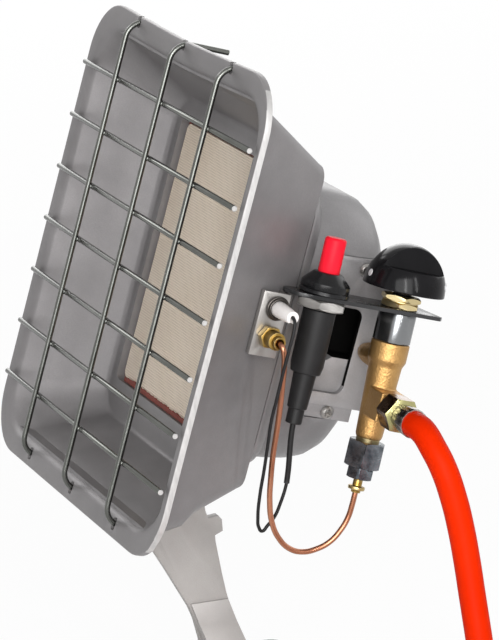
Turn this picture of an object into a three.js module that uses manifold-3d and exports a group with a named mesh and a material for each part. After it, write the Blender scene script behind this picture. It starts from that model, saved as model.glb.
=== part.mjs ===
// A portable gas radiant heater on a cast stand: a square reflector with a wire guard, a ceramic
// burner tile, a safety gas valve with a press knob, a push-button spark igniter and an orange hose.
// Lengths are millimetres. In the whole part +Z is up, the face looks to -Y and the valve is on +X.
// The head is drawn in its own frame, with its origin in the middle of the guard's upright wires,
// +Y going back into the head and +Z up the face; the head then leans back on its stand.

import * as THREE from 'three';
import { mergeVertices } from 'three/addons/utils/BufferGeometryUtils.js';
import Module from 'manifold-3d';

const wasm = await Module();
wasm.setup();

// Driving sizes

// fits shared by every piece
const fitGap = 0.3;                 // left between pieces that touch
const overrun = 2;                  // how far a cutting shape runs past what it cuts
const roundSteps = 24;              // facets round a turned piece
const smallSteps = 16;              // facets round a small turned piece
const cornerSteps = 6;              // facets round a rounded corner
const headLeanDegrees = 15.85;      // the face looks up by this much

// wire guard
const wireDiameter = 3;
const wireSides = 8;
const weldDepth = 0.35;             // how far crossing wires melt into each other
const crossPitch = 30;
const crossCount = 7;
const crossLength = 227.6;
const uprightPitch = 62.5;
const uprightCount = 3;
const wireBendRadius = 10;
const wireBendSteps = 7;
const wireTail = 3;                 // past the bend, behind the rim
const longTail = 22;                // the middle wire's upper end runs on behind the rim

// reflector
const rimWidth = 238;
const rimHeight = 257;
const rimCorner = 30;
const rimThickness = 3.4;
const lipSide = 8.5;                // flat front lip at the sides
const lipEnd = 11.7;                // flat front lip above and below
const lipDish = 0.9;
const lipSetBack = 5.4;             // guard wires to lip
const rimDrop = 1.5;                // rim's middle below the guard's middle
const backDrop = 3.7;               // the casting's back sits this much below it
const reflectorWall = 2.9;
const funnelDepth = 54.4;           // back of the rim to the end of the slope
const funnelCorner = 8;
const funnelInsetSide = 1.8;        // end of the slope inside the frame's edge
const funnelInsetEnd = 2.8;
const backRound = 3;
const backRoundShares = [0.5, 0.6]; // of the round's width and depth, at its middle
const skirtDepth = 18.2;            // the lower wall bulges as far as this behind the rim
const skirtFade = 6;                // and is straight again this much further on
const skirtBulge = 3.7;
const frameFaceDepth = 45;          // lip to the flat frame round the tile
const frameBorderSide = 7.8;        // the frame's width round the tile's opening
const frameBorderEnd = 16;
const frameFaceCorner = 17;
const tailFromEdge = 5.1;           // upper end of the guard's wires below the rim's edge
const slotWidth = 4.4;
const slotHeight = 6.8;

// ceramic tile and its gasket
const tileWidth = 144.8;
const tileHeight = 146.4;
const tileCorner = 4;
const tileThickness = 12;
const tileRecess = 3.2;             // tile face behind the frame's face
const gasketWall = 1.5;
const gasketProud = 0.5;

// burner housing
const housingCollarRim = 5.1;       // collar's side beyond the tile's
const housingCollarHeight = 159;
const housingCollarDepth = 6.7;
const housingCollarCorner = 20;
const panRim = 1.6;                 // pan's side beyond the tile's
const panHeight = 151;
const panCorner = 40;
const panDrop = 6.5;                // the pan sits this much below the tile's middle
const panDepth = 61;
const panWallShares = [[0, 1], [0.3, 0.992], [0.46, 0.978], [0.6, 0.948], [0.71, 0.896],
  [0.81, 0.81], [0.89, 0.7], [0.945, 0.57], [0.98, 0.42], [1, 0.24]];

// air intake cover on the housing's side
const intakeLength = 41;            // along Y
const intakeHeight = 88;
const intakeDepth = 20;             // along X
const intakeSetIn = 1.8;            // its outer face inside the pan's side
const intakeFront = 84;             // its front end, from the guard
const intakeTop = 40;
const intakeCorner = 5;
const intakeWall = 3;
const windowLength = 24;
const windowHeight = 47;
const windowCorner = 5;
const windowFromFront = 3.5;
const windowFromTop = 27;
const scoopHeight = 19;             // solid ramp in the window's lower part
const scoopSetBack = 3.5;
const scoopCurveShare = 0.78;       // its hollow, of the window's length
const stripHeight = 7.4;            // screwed strip along the bottom
const stripSetBack = 1.2;
const stripEndSetBack = 4.5;
const recessDepth = 22;             // hollow in the housing behind the cover

// screws of the cover
const screwHeadDiameter = 7.2;
const screwHeadHeight = 2.2;
const screwShank = 4;
const screwLength = 12;
const lowerScrewInset = 19;         // from the cover's back end
const upperScrewInset = 19;
const upperScrewDrop = 5.5;
const screwHeadShares = [[0, 0], [1, 0], [1, 0.45], [0.64, 1], [0, 1]];
const screwSlotLength = 4.5;
const screwSlotWidth = 1.15;

// control plate that carries the igniter and the valve's neck
const plateThickness = 2;
const plateTop = 27.1;              // its upper face, above the controls' own zero
const plateOuterEdge = 10.9;        // outside the valve's axis
const plateFrontWidth = 23;         // narrow front end, round, beside the reflector
const plateRoundCentre = 62.3;      // middle of that round end, from the guard
const plateWidth = 31.5;            // wide part, beside the burner housing
const plateWideStart = 75;
const plateBackEnd = 139;
const plateCorner = 2;
const plateShoulder = 7.7;          // slant between the narrow and the wide part

// valve, stacked along its own axis, down from the plate's lower face
const controlsLeanDegrees = 3.6;    // plate, valve and igniter lean in at the top
const controlsDrop = 5;             // their zero below the head's middle
const valveStandOff = 17.8;         // axis from the back end of the funnel's side, at that zero
const valveBack = 117.7;            // axis from the guard
const neckThread = 13;              // threaded neck through the plate
const neckRise = 6.2;
const neckBore = 10.4;
const neckBoreDepth = 34;
const sleeveAcross = 17.6;
const sleeveLength = 15.5;
const sleeveCorner = 5.6;
const sleeveTurnDegrees = 28;
const collarDiameter = 20.4;
const collarLength = 9.5;
const collarTaper = 3;
const bodyTopDiameter = 17.6;
const bodyBottomDiameter = 14.4;
const bodyLength = 50;
const threadDiameter = 12.6;
const threadLength = 4.4;
const outletDiameter = 12.6;
const outletShares = [[0, 0], [1, 0], [1, 0.55], [0.92, 0.78], [0.68, 1], [0, 1]];
const outletDrop = 26.5;            // outlet and inlet below the plate's lower face
const inletDrop = 47.7;
const inletTiltDegrees = 3.6;
const inletBossAcross = 15.4;
const inletBossLength = 18.2;       // from the valve's axis to the boss's face
const inletSpigotDiameter = 12.4;
const inletSpigotLength = 6.4;
const panelNutAcross = 19;
const panelNutHeight = 3.4;
const knobDiameter = 43.6;
const knobHeight = 24.2;
const knobSkirt = 9.5;
const knobWall = 2.4;
const knobStandOff = 9.8;           // skirt edge above the plate
const knobRibWidth = 13;
const knobCutFloor = 11.5;
const knobMarkDiameter = 3.2;
const knobMarkDepth = 0.5;
const knobMarkRise = 5.7;           // the mark's middle above the knob's rim
const knobSteps = 36;
const knobDomeShares = [[0.985, 0.5], [0.94, 0.62], [0.85, 0.75], [0.7, 0.87],
  [0.5, 0.95], [0.26, 0.99], [0, 1]];
const knobSocket = 14;              // hole for the spindle, above the knob's rim
const knobHubDiameter = 9.8;
const knobHubDrop = 5.5;            // hub below the knob's rim
const knobTravel = 5;
const driverLength = 6;             // keyed ring that turns with the spindle
const springWire = 1;
const spindleDiameter = 6;
const spindleFlat = 1.3;
const spindleWell = 14.1;           // bore for the spindle's foot, below the neck's bore
const magnetHexAcross = 18.6;
const magnetHexLength = 14;
const magnetGrip = 0.9;             // how far it is screwed on to the valve's thread
const lowerHexAcross = 13.2;
const lowerHexLength = 6.2;
const glandDiameter = 9;
const glandLength = 7.4;
const glandShares = [[0, 0], [0.56, 0], [0.56, -0.5], [1, -0.54], [1, -0.77], [0.56, -0.84],
  [0.56, -1], [0, -1]];
const glandBoreDepth = 2.3;

// push-button igniter
const piezoBack = 72.7;             // its axis from the guard, on the valve's plane
const piezoBodyDiameter = 17.4;
const piezoBodyLength = 33.8;
const piezoTaper = 4.6;             // rounded lower end of the body
const piezoTaperShares = [0.86, 0.92];  // of the step's and the body's diameter, below
const piezoStepDiameter = 12.2;
const piezoStepLength = 19;
const piezoTipDiameter = 8.6;
const piezoTipLength = 8;
const piezoTipBore = 3.6;
const piezoTipBoreDepth = 6;
const piezoThread = 17.8;
const piezoNutAcross = 24;
const piezoNutHeight = 5.2;
const piezoCollarDiameter = 26.4;
const piezoCollarRim = 6;
const piezoCollarHeight = 11.4;
const piezoCollarShares = [[0.94, 0], [1, 0.25], [1, 1]];  // foot to rim
const piezoCollarTop = 14.6;
const piezoStemRise = 3.8;          // thread's end above the plate
const piezoWellDepth = 15;          // room for the button's stem
const buttonDiameter = 11.4;
const buttonHeight = 18.4;
const buttonStem = 7;
const buttonTravel = 7;
const buttonRound = 1;

// sensor bracket on the reflector's side
const bracketStandOff = 4.1;        // outer face from the funnel's wall at its front
const bracketThickness = 1.5;
const bracketFront = 38.9;
const bracketLength = 15.4;
const bracketTop = 19;
const bracketHeight = 34;
const electrodeBack = 48.2;
const electrodeUp = 11;
const insulatorDiameter = 8.4;
const insulatorTip = 6.6;
const insulatorOut = 19.5;
const insulatorIn = 15;
const insulatorBore = 2.6;
const insulatorBoreDepth = 8;
const insulatorEndShares = [0.8, 0.9];  // of its diameter and inner length, at the inner end
const insulatorStraightShare = 0.3; // of its outer length, before it tapers
const clipWire = 1.3;
const clipTurns = 2;
const clipTurnGap = 0.45;
const clipLoopSteps = 24;
const clipSides = 6;
const rodDiameter = 2;
const rodReach = 26;                // how far the electrode runs across the tile's edge
const thermoBack = 47;
const thermoUp = -4;
const thermoNutAcross = 9.5;
const thermoNutFlange = 10.6;
const thermoNutLength = 15;
const thermoHexLength = 4.5;
const thermoBarrelLength = 11.4;
const thermoNutTip = 6.6;
const thermoSheath = 4;
const thermoSheathReach = 34;
const thermoSheathOut = 10.5;
const thermoTipShares = [0.6, 0.9]; // of the sheath's diameter and reach, at its tip
const footGap = 0.42;               // bracket's feet to the sloping wall

// leads
const copperDiameter = 3;
const copperBow = 7.3;              // how far the tube swings out past the sensor's end
const copperDrop = 110.3;           // from the sensor down to the tube's lowest point
const copperStub = 3;               // straight run out of the sensor
// how far out, how far across to the valve and how far down each point of the tube lies
const copperShares = [
  [0.925, 0.008, 0.010], [1.027, 0.031, 0.040], [0.864, 0.065, 0.091], [0.574, 0.110, 0.192],
  [0.319, 0.149, 0.281], [0.018, 0.197, 0.424], [-0.252, 0.233, 0.539],
  [-0.461, 0.277, 0.653], [-0.558, 0.324, 0.765], [-0.572, 0.388, 0.864],
  [-0.660, 0.494, 0.945], [-0.665, 0.615, 0.990], [-0.565, 0.716, 0.995],
  [-0.468, 0.829, 0.970], [-0.326, 0.915, 0.926], [-0.194, 0.973, 0.861],
  [-0.114, 1.003, 0.792], [-0.031, 1.004, 0.729]];
const leadDiameter = 1.8;
const bootDiameter = 3;
const leadSides = 8;
const leadSteps = 50;
const bootSides = 10;
const bootSteps = 14;
const leadEntryShare = 0.55;        // of the insulator's bore, where the lead starts

// hose: 8 mm bore with a 3 mm wall
const hoseDiameter = 14;
const hoseSides = 12;
const hoseSteps = 36;
const hoseNutAcross = 17.3;
const hoseNutLength = 12.1;
const hoseNutBore = 9.3;
const hoseNutThread = 7;            // depth of the wider, threaded end
const ferruleDiameter = 15.6;
const ferruleLength = 13.3;
const ferruleWall = 0.5;
const ferruleMouth = 3.9;           // how far the hose is let into it
const ferruleNeckShares = [0.8, 0.5];  // of its diameter and length, at the nut
const coilOuterRadius = 81.7;
const coilPitch = 14.8;             // from turn to turn, and from layer to layer
const coilTurns = 2.75;             // in along the upper layer and out again along the lower
const coilDropTurns = 0.5;          // the half turn in which it drops a layer
const coilLoopSteps = 24;
const coilSides = 6;
const endFerruleLength = 24;
const endFerruleShares = [[0, 0], [1, 0], [1, 0.92], [0.8, 1], [0, 1]];
const endNutAcross = 14.4;
const endNutLength = 16;
const endSpigotDiameter = 9;
const endSpigotLength = 7;

// stand
const floorDrop = 265;              // guard's middle to the floor
const neckThickness = 5;
const neckReach = 87;               // front to back at its widest
const neckHeight = 111;
const neckCrestDrop = 2.13;         // zero of its outline below the underside at its crest
const neckFront = -14;              // front of that outline from the guard's middle
const neckCrestShare = 0.62;        // of its reach, where it meets the underside at the back
const legTopShares = [0.75, 0.8];   // of the neck's reach and height, where the legs start
const legSpread = 66;
const legReach = 22;
const legThickness = 5.4;
const legWidth = 22;
const runnerLength = 148;
const runnerWidth = 14;
const runnerHeight = 8;
const runnerCorner = 6.8;
const runnerFront = -22;
const lugThickness = 6;
const lugLength = 52;
const lugEdge = 6.8;                // bolts' middle to the lug's lower edge
const lugMiddleShare = 0.42;        // of the neck's reach
const lugSink = 1.5;                // let into the reflector's wall
const boltDiameter = 6;
const boltHeadAcross = 10;
const boltHeadHeight = 4;
const boltNutHeight = 5;
const boltPitch = 30;
const boltDrop = 5.9;               // below the lowest underside over the nuts

// Materials

function paint(color, roughness, metalness) {
  return new THREE.MeshStandardMaterial({ color, roughness, metalness });
}

const castAluminium = paint(0x9a9797, 0.5, 0.75);
const standAluminium = paint(0xb4aeaa, 0.6, 0.7);
const zincSteel = paint(0xb9bcb8, 0.3, 0.95);
const greySteel = paint(0x8f979c, 0.35, 0.9);
const brass = paint(0xb98e4a, 0.32, 0.95);
const yellowZinc = paint(0xc2b070, 0.3, 0.95);
const copper = paint(0xb06a45, 0.35, 0.95);
const ceramic = paint(0xd9c7b2, 0.95, 0);
const gasketFelt = paint(0x57271f, 0.95, 0);
const glazedCeramic = paint(0xeceae6, 0.3, 0);
const blackPlastic = paint(0x1b1c1e, 0.3, 0);
const mattBlack = paint(0x2a2b2d, 0.6, 0);
const blackSteel = paint(0x1d1e20, 0.35, 0.3);
const redPlastic = paint(0xd7202c, 0.4, 0);
const orangeRubber = paint(0xe8401b, 0.3, 0);

// Shape helpers

const quarterTurn = Math.PI / 2;
const fullTurn = Math.PI * 2;

// a closed solid from any geometry, with its faces turned outward
function solid(geometry) {
  const bare = geometry.clone();
  for (const name of Object.keys(bare.attributes)) {
    if (name !== 'position') bare.deleteAttribute(name);
  }
  const merged = mergeVertices(bare, 1e-4);
  const points = merged.attributes.position.array;
  const faces = [];
  const index = merged.index.array;
  let volume = 0;
  const a = new THREE.Vector3();
  const b = new THREE.Vector3();
  const c = new THREE.Vector3();
  for (let i = 0; i < index.length; i += 3) {
    const [p, q, r] = [index[i], index[i + 1], index[i + 2]];
    if (p === q || q === r || r === p) continue;
    faces.push(p, q, r);
    a.fromArray(points, p * 3);
    b.fromArray(points, q * 3);
    c.fromArray(points, r * 3);
    volume += a.dot(b.cross(c));
  }
  if (volume < 0) {
    for (let i = 0; i < faces.length; i += 3) {
      [faces[i], faces[i + 1]] = [faces[i + 1], faces[i]];
    }
  }
  return new wasm.Manifold(new wasm.Mesh({
    numProp: 3,
    vertProperties: new Float32Array(points),
    triVerts: new Uint32Array(faces),
  }));
}

function geometryOf(body) {
  const mesh = body.getMesh();
  const geometry = new THREE.BufferGeometry();
  geometry.setAttribute('position',
    new THREE.BufferAttribute(new Float32Array(mesh.vertProperties), 3));
  geometry.setIndex(new THREE.BufferAttribute(new Uint32Array(mesh.triVerts), 1));
  geometry.computeVertexNormals();
  return geometry;
}

function join(first, ...others) {
  return others.reduce((sum, item) => sum.add(solid(item)), solid(first));
}

// first minus every other geometry; first may already be a solid
function cut(first, ...others) {
  const start = first.isBufferGeometry ? solid(first) : first;
  return others.reduce((rest, item) => rest.subtract(solid(item)), start);
}

// skin over rings of equal count; a closed loft runs back into its first ring
function loft(rings, closed = false) {
  const count = rings[0].length;
  const positions = rings.flat().flatMap((point) => [point.x, point.y, point.z]);
  const faces = [];
  const bands = closed ? rings.length : rings.length - 1;
  for (let band = 0; band < bands; band += 1) {
    const here = band * count;
    const next = ((band + 1) % rings.length) * count;
    for (let i = 0; i < count; i += 1) {
      const j = (i + 1) % count;
      faces.push(here + i, here + j, next + j, here + i, next + j, next + i);
    }
  }
  if (!closed) {
    const last = (rings.length - 1) * count;
    for (let i = 1; i < count - 1; i += 1) {
      faces.push(0, i + 1, i, last, last + i, last + i + 1);
    }
  }
  const geometry = new THREE.BufferGeometry();
  geometry.setAttribute('position', new THREE.Float32BufferAttribute(positions, 3));
  geometry.setIndex(faces);
  return geometry;
}

// rounded rectangle in the plane Y = back
function rectangleRing(width, height, corner, back, rise = 0) {
  const ring = [];
  const insetX = width / 2 - corner;
  const insetZ = height / 2 - corner;
  const signs = [[1, 1], [-1, 1], [-1, -1], [1, -1]];
  signs.forEach(([signX, signZ], quarter) => {
    for (let step = 0; step <= cornerSteps; step += 1) {
      const angle = (quarter + step / cornerSteps) * quarterTurn;
      ring.push(new THREE.Vector3(signX * insetX + corner * Math.cos(angle), back,
        rise + signZ * insetZ + corner * Math.sin(angle)));
    }
  });
  return ring;
}

// round tube with its rings on the given points
function sweep(points, diameter, sides) {
  const rings = [];
  let across = new THREE.Vector3();
  points.forEach((point, i) => {
    const before = points[Math.max(i - 1, 0)];
    const after = points[Math.min(i + 1, points.length - 1)];
    const along = after.clone().sub(before).normalize();
    if (i === 0) {
      across.set(Math.abs(along.x) < 0.9 ? 1 : 0, Math.abs(along.x) < 0.9 ? 0 : 1, 0);
    }
    across.addScaledVector(along, -across.dot(along)).normalize();
    const third = along.clone().cross(across);
    const ring = [];
    for (let side = 0; side < sides; side += 1) {
      const angle = side / sides * fullTurn;
      ring.push(point.clone()
        .addScaledVector(across, Math.cos(angle) * diameter / 2)
        .addScaledVector(third, Math.sin(angle) * diameter / 2));
    }
    rings.push(ring);
  });
  return loft(rings);
}

// smooth tube through a route chosen by hand
function tubeAlong(route, diameter, sides, steps) {
  const section = new THREE.Shape();
  for (let side = 0; side < sides; side += 1) {
    const angle = (side + 0.5) / sides * fullTurn;
    const x = Math.cos(angle) * diameter / 2;
    const y = Math.sin(angle) * diameter / 2;
    if (side === 0) section.moveTo(x, y);
    else section.lineTo(x, y);
  }
  section.closePath();
  return new THREE.ExtrudeGeometry(section, {
    steps, bevelEnabled: false, extrudePath: new THREE.CatmullRomCurve3(route, false, 'centripetal'),
  });
}

// turned piece along Z from pairs of radius and height
function turned(pairs, steps = roundSteps) {
  const outline = pairs.map(([radius, height]) => new THREE.Vector2(radius, height));
  return new THREE.LatheGeometry(outline, steps).rotateX(quarterTurn);
}

// turned piece from shares of its diameter and its length
function turnedShares(shares, diameter, length, steps = roundSteps) {
  return turned(shares.map(([wide, high]) => [wide * diameter / 2, high * length]), steps);
}

function rod(diameter, length, steps = roundSteps) {
  return turned([[0, 0], [diameter / 2, 0], [diameter / 2, length], [0, length]], steps);
}

// turned piece whose Z axis is laid along +X or back along -X
function alongX(geometry, sign = 1) {
  return geometry.rotateY(sign * quarterTurn);
}

function hexagon(acrossFlats, length) {
  const radius = acrossFlats / Math.sqrt(3);
  return new THREE.CylinderGeometry(radius, radius, length, 6)
    .rotateX(quarterTurn).translate(0, 0, length / 2);
}

function block(x, y, z) {
  return new THREE.BoxGeometry(x, y, z);
}

// upright prism of an outline in X and Y
function prism(shape, height, curveSegments = cornerSteps) {
  return new THREE.ExtrudeGeometry(shape, { depth: height, bevelEnabled: false, curveSegments });
}

function roundedShape(width, height, corner) {
  const shape = new THREE.Shape();
  const x = width / 2;
  const y = height / 2;
  shape.moveTo(corner - x, -y);
  shape.lineTo(x - corner, -y);
  shape.absarc(x - corner, corner - y, corner, -quarterTurn, 0);
  shape.lineTo(x, y - corner);
  shape.absarc(x - corner, y - corner, corner, 0, quarterTurn);
  shape.lineTo(corner - x, y);
  shape.absarc(corner - x, y - corner, corner, quarterTurn, 2 * quarterTurn);
  shape.lineTo(-x, corner - y);
  shape.absarc(corner - x, corner - y, corner, 2 * quarterTurn, 3 * quarterTurn);
  return shape;
}

// bar along X with a rounded outline in Y and Z, its outer end at the origin
function sideBar(length, height, corner, depth) {
  return prism(roundedShape(height, length, corner), depth)
    .rotateY(-quarterTurn);
}

function place(name, body, material, x = 0, y = 0, z = 0) {
  const mesh = new THREE.Mesh(body.isBufferGeometry ? geometryOf(solid(body)) : geometryOf(body),
    material);
  mesh.name = name;
  mesh.position.set(x, y, z);
  return mesh;
}

const heater = new THREE.Group();
const head = new THREE.Group();
const headLean = THREE.MathUtils.degToRad(headLeanDegrees);
head.rotation.x = -headLean;
heater.add(head);

// Reflector

const lipFront = lipSetBack;
const rimBack = lipFront + rimThickness;
const foldWidth = rimWidth - 2 * lipSide;
const foldHeight = rimHeight - 2 * lipEnd;
const foldCorner = rimCorner - lipSide / 2;
const funnelEnd = rimBack + funnelDepth;
const frameFace = lipFront + frameFaceDepth;
const reflectorBack = funnelEnd + backRound;
const tileOpeningWidth = tileWidth + 2 * (gasketWall + 2 * fitGap);
const tileOpeningHeight = tileHeight + 2 * (gasketWall + 2 * fitGap);
const frameFaceWidth = tileOpeningWidth + 2 * frameBorderSide;
const frameFaceHeight = tileOpeningHeight + 2 * frameBorderEnd;
const funnelBackWidth = frameFaceWidth - 2 * funnelInsetSide;
const funnelBackHeight = frameFaceHeight - 2 * funnelInsetEnd;

// the funnel's outer wall at a given depth behind the guard
function wallAt(back) {
  const mix = (front, end) => THREE.MathUtils.lerp(front, end, (back - rimBack) / funnelDepth);
  return {
    width: mix(foldWidth, funnelBackWidth),
    height: mix(foldHeight - 2 * reflectorWall, funnelBackHeight),
    rise: -mix(rimDrop, backDrop),
  };
}

const panWidth = tileWidth + 2 * panRim;
const intakeFace = panWidth / 2 - intakeSetIn;
const valveAcross = funnelBackWidth / 2 + valveStandOff;
const bracketFace = wallAt(bracketFront).width / 2 + bracketStandOff;

function wallRing(back, bulge = 0, corner = funnelCorner) {
  const wall = wallAt(back);
  return rectangleRing(wall.width, wall.height + bulge, corner, back, wall.rise - bulge / 2);
}

const skirtBack = rimBack + skirtDepth;
const skirtEnd = skirtBack + skirtFade;
const [roundWidthShare, roundDepthShare] = backRoundShares;
const reflectorSkin = loft([
  rectangleRing(rimWidth, rimHeight, rimCorner, lipFront, -rimDrop),
  rectangleRing(rimWidth, rimHeight, rimCorner, rimBack, -rimDrop),
  wallRing(rimBack),
  wallRing(skirtBack, skirtBulge),
  wallRing(skirtEnd),
  wallRing(funnelEnd),
  rectangleRing(funnelBackWidth - backRound * roundWidthShare,
    funnelBackHeight - backRound * roundWidthShare, funnelCorner,
    funnelEnd + backRound * roundDepthShare, -backDrop),
  rectangleRing(funnelBackWidth - 2 * backRound, funnelBackHeight - 2 * backRound,
    funnelCorner, reflectorBack, -backDrop),
  rectangleRing(tileOpeningWidth, tileOpeningHeight, tileCorner, reflectorBack),
  rectangleRing(tileOpeningWidth, tileOpeningHeight, tileCorner, frameFace),
  rectangleRing(frameFaceWidth, frameFaceHeight, frameFaceCorner, frameFace, -backDrop),
  rectangleRing(foldWidth, foldHeight, foldCorner, lipFront + lipDish, -rimDrop),
], true);

// slots in the lip, where the bends of the guard's upright wires pass through it
const tailHeight = rimHeight / 2 - tailFromEdge;
const bendToSlot = wireBendRadius - lipFront - rimThickness / 2;
const slotRise = tailHeight - wireBendRadius + Math.sqrt(wireBendRadius ** 2 - bendToSlot ** 2);
const slots = [];
for (let i = 0; i < uprightCount; i += 1) {
  const across = (i - (uprightCount - 1) / 2) * uprightPitch;
  for (const side of [1, -1]) {
    slots.push(block(slotWidth, rimThickness + 2 * overrun, slotHeight)
      .translate(across, lipFront + rimThickness / 2, side * slotRise));
  }
}
const electrodeHole = alongX(rod(insulatorDiameter + 2 * fitGap, funnelBackWidth / 2))
  .translate(bracketFace - insulatorIn - fitGap, electrodeBack, electrodeUp);
const electrodeBore = alongX(rod(rodDiameter + 2 * fitGap, rodReach + overrun))
  .translate(bracketFace - insulatorIn - fitGap - rodReach, electrodeBack, electrodeUp);
const thermoHole = alongX(rod(thermoSheath + 2 * fitGap, funnelBackWidth / 2))
  .translate(bracketFace - thermoSheathReach, thermoBack, thermoUp);

// a place in the head's middle plane, as depth and height of the whole part
function leaned(back, rise) {
  return new THREE.Vector2(back * Math.cos(headLean) + rise * Math.sin(headLean),
    rise * Math.cos(headLean) - back * Math.sin(headLean));
}

// the funnel's underside in the middle plane, lowered by a gap or raised by a sink
function undersideCorners(shift) {
  return [[rimBack, 0], [skirtBack, skirtBulge], [skirtEnd, 0], [funnelEnd, 0]]
    .map(([back, bulge]) => {
      const wall = wallAt(back);
      return leaned(back, wall.rise - wall.height / 2 - bulge + shift);
    });
}

function underside(back, shift) {
  const corners = undersideCorners(shift);
  const last = corners.length - 2;
  const found = corners.findIndex((corner, i) => i <= last && back < corners[i + 1].x);
  const from = found < 0 ? last : found;
  const share = (back - corners[from].x) / (corners[from + 1].x - corners[from].x);
  return corners[from].clone().lerp(corners[from + 1], share);
}

// the underside as a line of points from back to front between two depths
function undersideLine(front, back, shift) {
  const between = undersideCorners(shift).filter((corner) => corner.x > front && corner.x < back);
  return [underside(back, shift), ...between.reverse(), underside(front, shift)];
}

// a shape drawn in Y and Z, given its thickness along X about the middle plane
function standing(shape, thickness) {
  return prism(shape, thickness).rotateX(quarterTurn).rotateZ(quarterTurn)
    .translate(-thickness / 2, 0, 0);
}

// lug under the funnel that the stand is bolted to
const neckCrest = neckFront + neckReach * neckCrestShare;
const neckZero = underside(neckCrest, 0).y - neckCrestDrop;
const lugMiddle = neckFront + neckReach * lugMiddleShare;
const lugFront = lugMiddle - lugLength / 2;
const lugBack = lugMiddle + lugLength / 2;

// the bolts hang below the lowest point that their nuts' corners reach under
const nutReach = boltHeadAcross / Math.sqrt(3);
const overNuts = undersideLine(lugMiddle - boltPitch / 2 - nutReach,
  lugMiddle + boltPitch / 2 + nutReach, 0);
const boltRise = Math.min(...overNuts.map((point) => point.y)) - boltDrop;
const lug = standing(new THREE.Shape([
  new THREE.Vector2(lugFront, boltRise - lugEdge),
  new THREE.Vector2(lugBack, boltRise - lugEdge),
  ...undersideLine(lugFront, lugBack, lugSink)]), lugThickness)
  .translate(-neckThickness / 2 - fitGap - lugThickness / 2, 0, 0).rotateX(headLean);

const boltPlaces = [-0.5, 0.5].map((share) => new THREE.Vector2(
  lugMiddle + share * boltPitch, boltRise));

function boltBore(at) {
  return alongX(rod(boltDiameter + 2 * fitGap, lugLength)).translate(-lugLength / 2, at.x, at.y);
}

const reflector = cut(join(reflectorSkin, lug), ...slots, electrodeHole,
  electrodeBore, thermoHole,
  ...boltPlaces.map((at) => boltBore(at).rotateX(headLean)));
head.add(place('reflector', reflector, castAluminium));

// Wire guard

function uprightRoute(upperTail) {
  const bend = tailHeight - wireBendRadius;
  const route = [];
  const corner = (step, sign) => {
    const angle = step / wireBendSteps * quarterTurn;
    return new THREE.Vector3(0, wireBendRadius * (1 - Math.cos(angle)),
      sign * (bend + wireBendRadius * Math.sin(angle)));
  };
  route.push(new THREE.Vector3(0, wireBendRadius + wireTail, -tailHeight));
  for (let step = wireBendSteps; step >= 0; step -= 1) route.push(corner(step, -1));
  for (let step = 0; step <= wireBendSteps; step += 1) route.push(corner(step, 1));
  route.push(new THREE.Vector3(0, wireBendRadius + upperTail, tailHeight));
  return route;
}

const guardWires = [];
for (let i = 0; i < uprightCount; i += 1) {
  const offset = i - (uprightCount - 1) / 2;
  const upperTail = offset === 0 ? longTail : wireTail;
  guardWires.push(sweep(uprightRoute(upperTail), wireDiameter, wireSides)
    .translate(offset * uprightPitch, 0, 0));
}
for (let i = 0; i < crossCount; i += 1) {
  guardWires.push(alongX(rod(wireDiameter, crossLength, wireSides))
    .translate(-crossLength / 2, wireDiameter - weldDepth, (i - (crossCount - 1) / 2) * crossPitch));
}
head.add(place('guard_grille', join(...guardWires), zincSteel));

// Ceramic tile and gasket

const tileFace = frameFace + tileRecess;
head.add(place('ceramic_tile', loft([
  rectangleRing(tileWidth, tileHeight, tileCorner, tileFace),
  rectangleRing(tileWidth, tileHeight, tileCorner, tileFace + tileThickness),
]), ceramic));

const gasketInner = [tileWidth + 2 * fitGap, tileHeight + 2 * fitGap];
const gasketOuter = [gasketInner[0] + 2 * gasketWall, gasketInner[1] + 2 * gasketWall];
head.add(place('tile_gasket', loft([
  rectangleRing(...gasketInner, tileCorner, tileFace - gasketProud),
  rectangleRing(...gasketOuter, tileCorner, tileFace - gasketProud),
  rectangleRing(...gasketOuter, tileCorner, tileFace + tileThickness),
  rectangleRing(...gasketInner, tileCorner, tileFace + tileThickness),
], true), gasketFelt));

// Burner housing

const housingCollarWidth = tileWidth + 2 * housingCollarRim;
const housingFront = Math.max(reflectorBack, tileFace + tileThickness) + fitGap;
const panFront = housingFront + housingCollarDepth;
const collarSkin = loft([
  rectangleRing(housingCollarWidth, housingCollarHeight, housingCollarCorner, housingFront,
    -backDrop),
  rectangleRing(panWidth, panHeight, housingCollarCorner, panFront, -panDrop),
]);
const panRings = panWallShares.map(([depthShare, sizeShare]) => rectangleRing(
  panWidth * sizeShare, panHeight * sizeShare, panCorner * sizeShare,
  panFront + panDepth * depthShare - (depthShare === 0 ? overrun : 0), -panDrop));
const panSkin = loft(panRings);

const intakeMiddle = intakeFront + intakeLength / 2;
const intakeRise = intakeTop - intakeHeight / 2;
const intakeSpace = sideBar(intakeLength + 2 * fitGap, intakeHeight + 2 * fitGap,
  intakeCorner + fitGap, intakeDepth + fitGap + overrun)
  .translate(intakeFace + overrun, intakeMiddle, intakeRise);
const cavityLength = intakeLength - 2 * intakeWall;
const cavityHeight = intakeHeight - stripHeight - 2 * intakeWall;
const cavityRise = intakeRise + stripHeight / 2;
const recess = sideBar(cavityLength, cavityHeight, intakeCorner, recessDepth)
  .translate(intakeFace - intakeDepth + overrun, intakeMiddle, cavityRise);

const intakeBack = intakeFront + intakeLength;
const lowerScrew = [intakeBack - lowerScrewInset, intakeTop - intakeHeight + stripHeight / 2];
const upperScrew = [intakeBack - upperScrewInset, intakeTop - upperScrewDrop];

function screwBore([back, rise]) {
  return alongX(rod(screwShank + 2 * fitGap, screwLength + intakeDepth)).translate(
    intakeFace - screwLength - intakeDepth, back, rise);
}

const housing = cut(join(collarSkin, panSkin), intakeSpace, recess);
head.add(place('burner_housing', housing, castAluminium));

// Air intake cover

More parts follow.
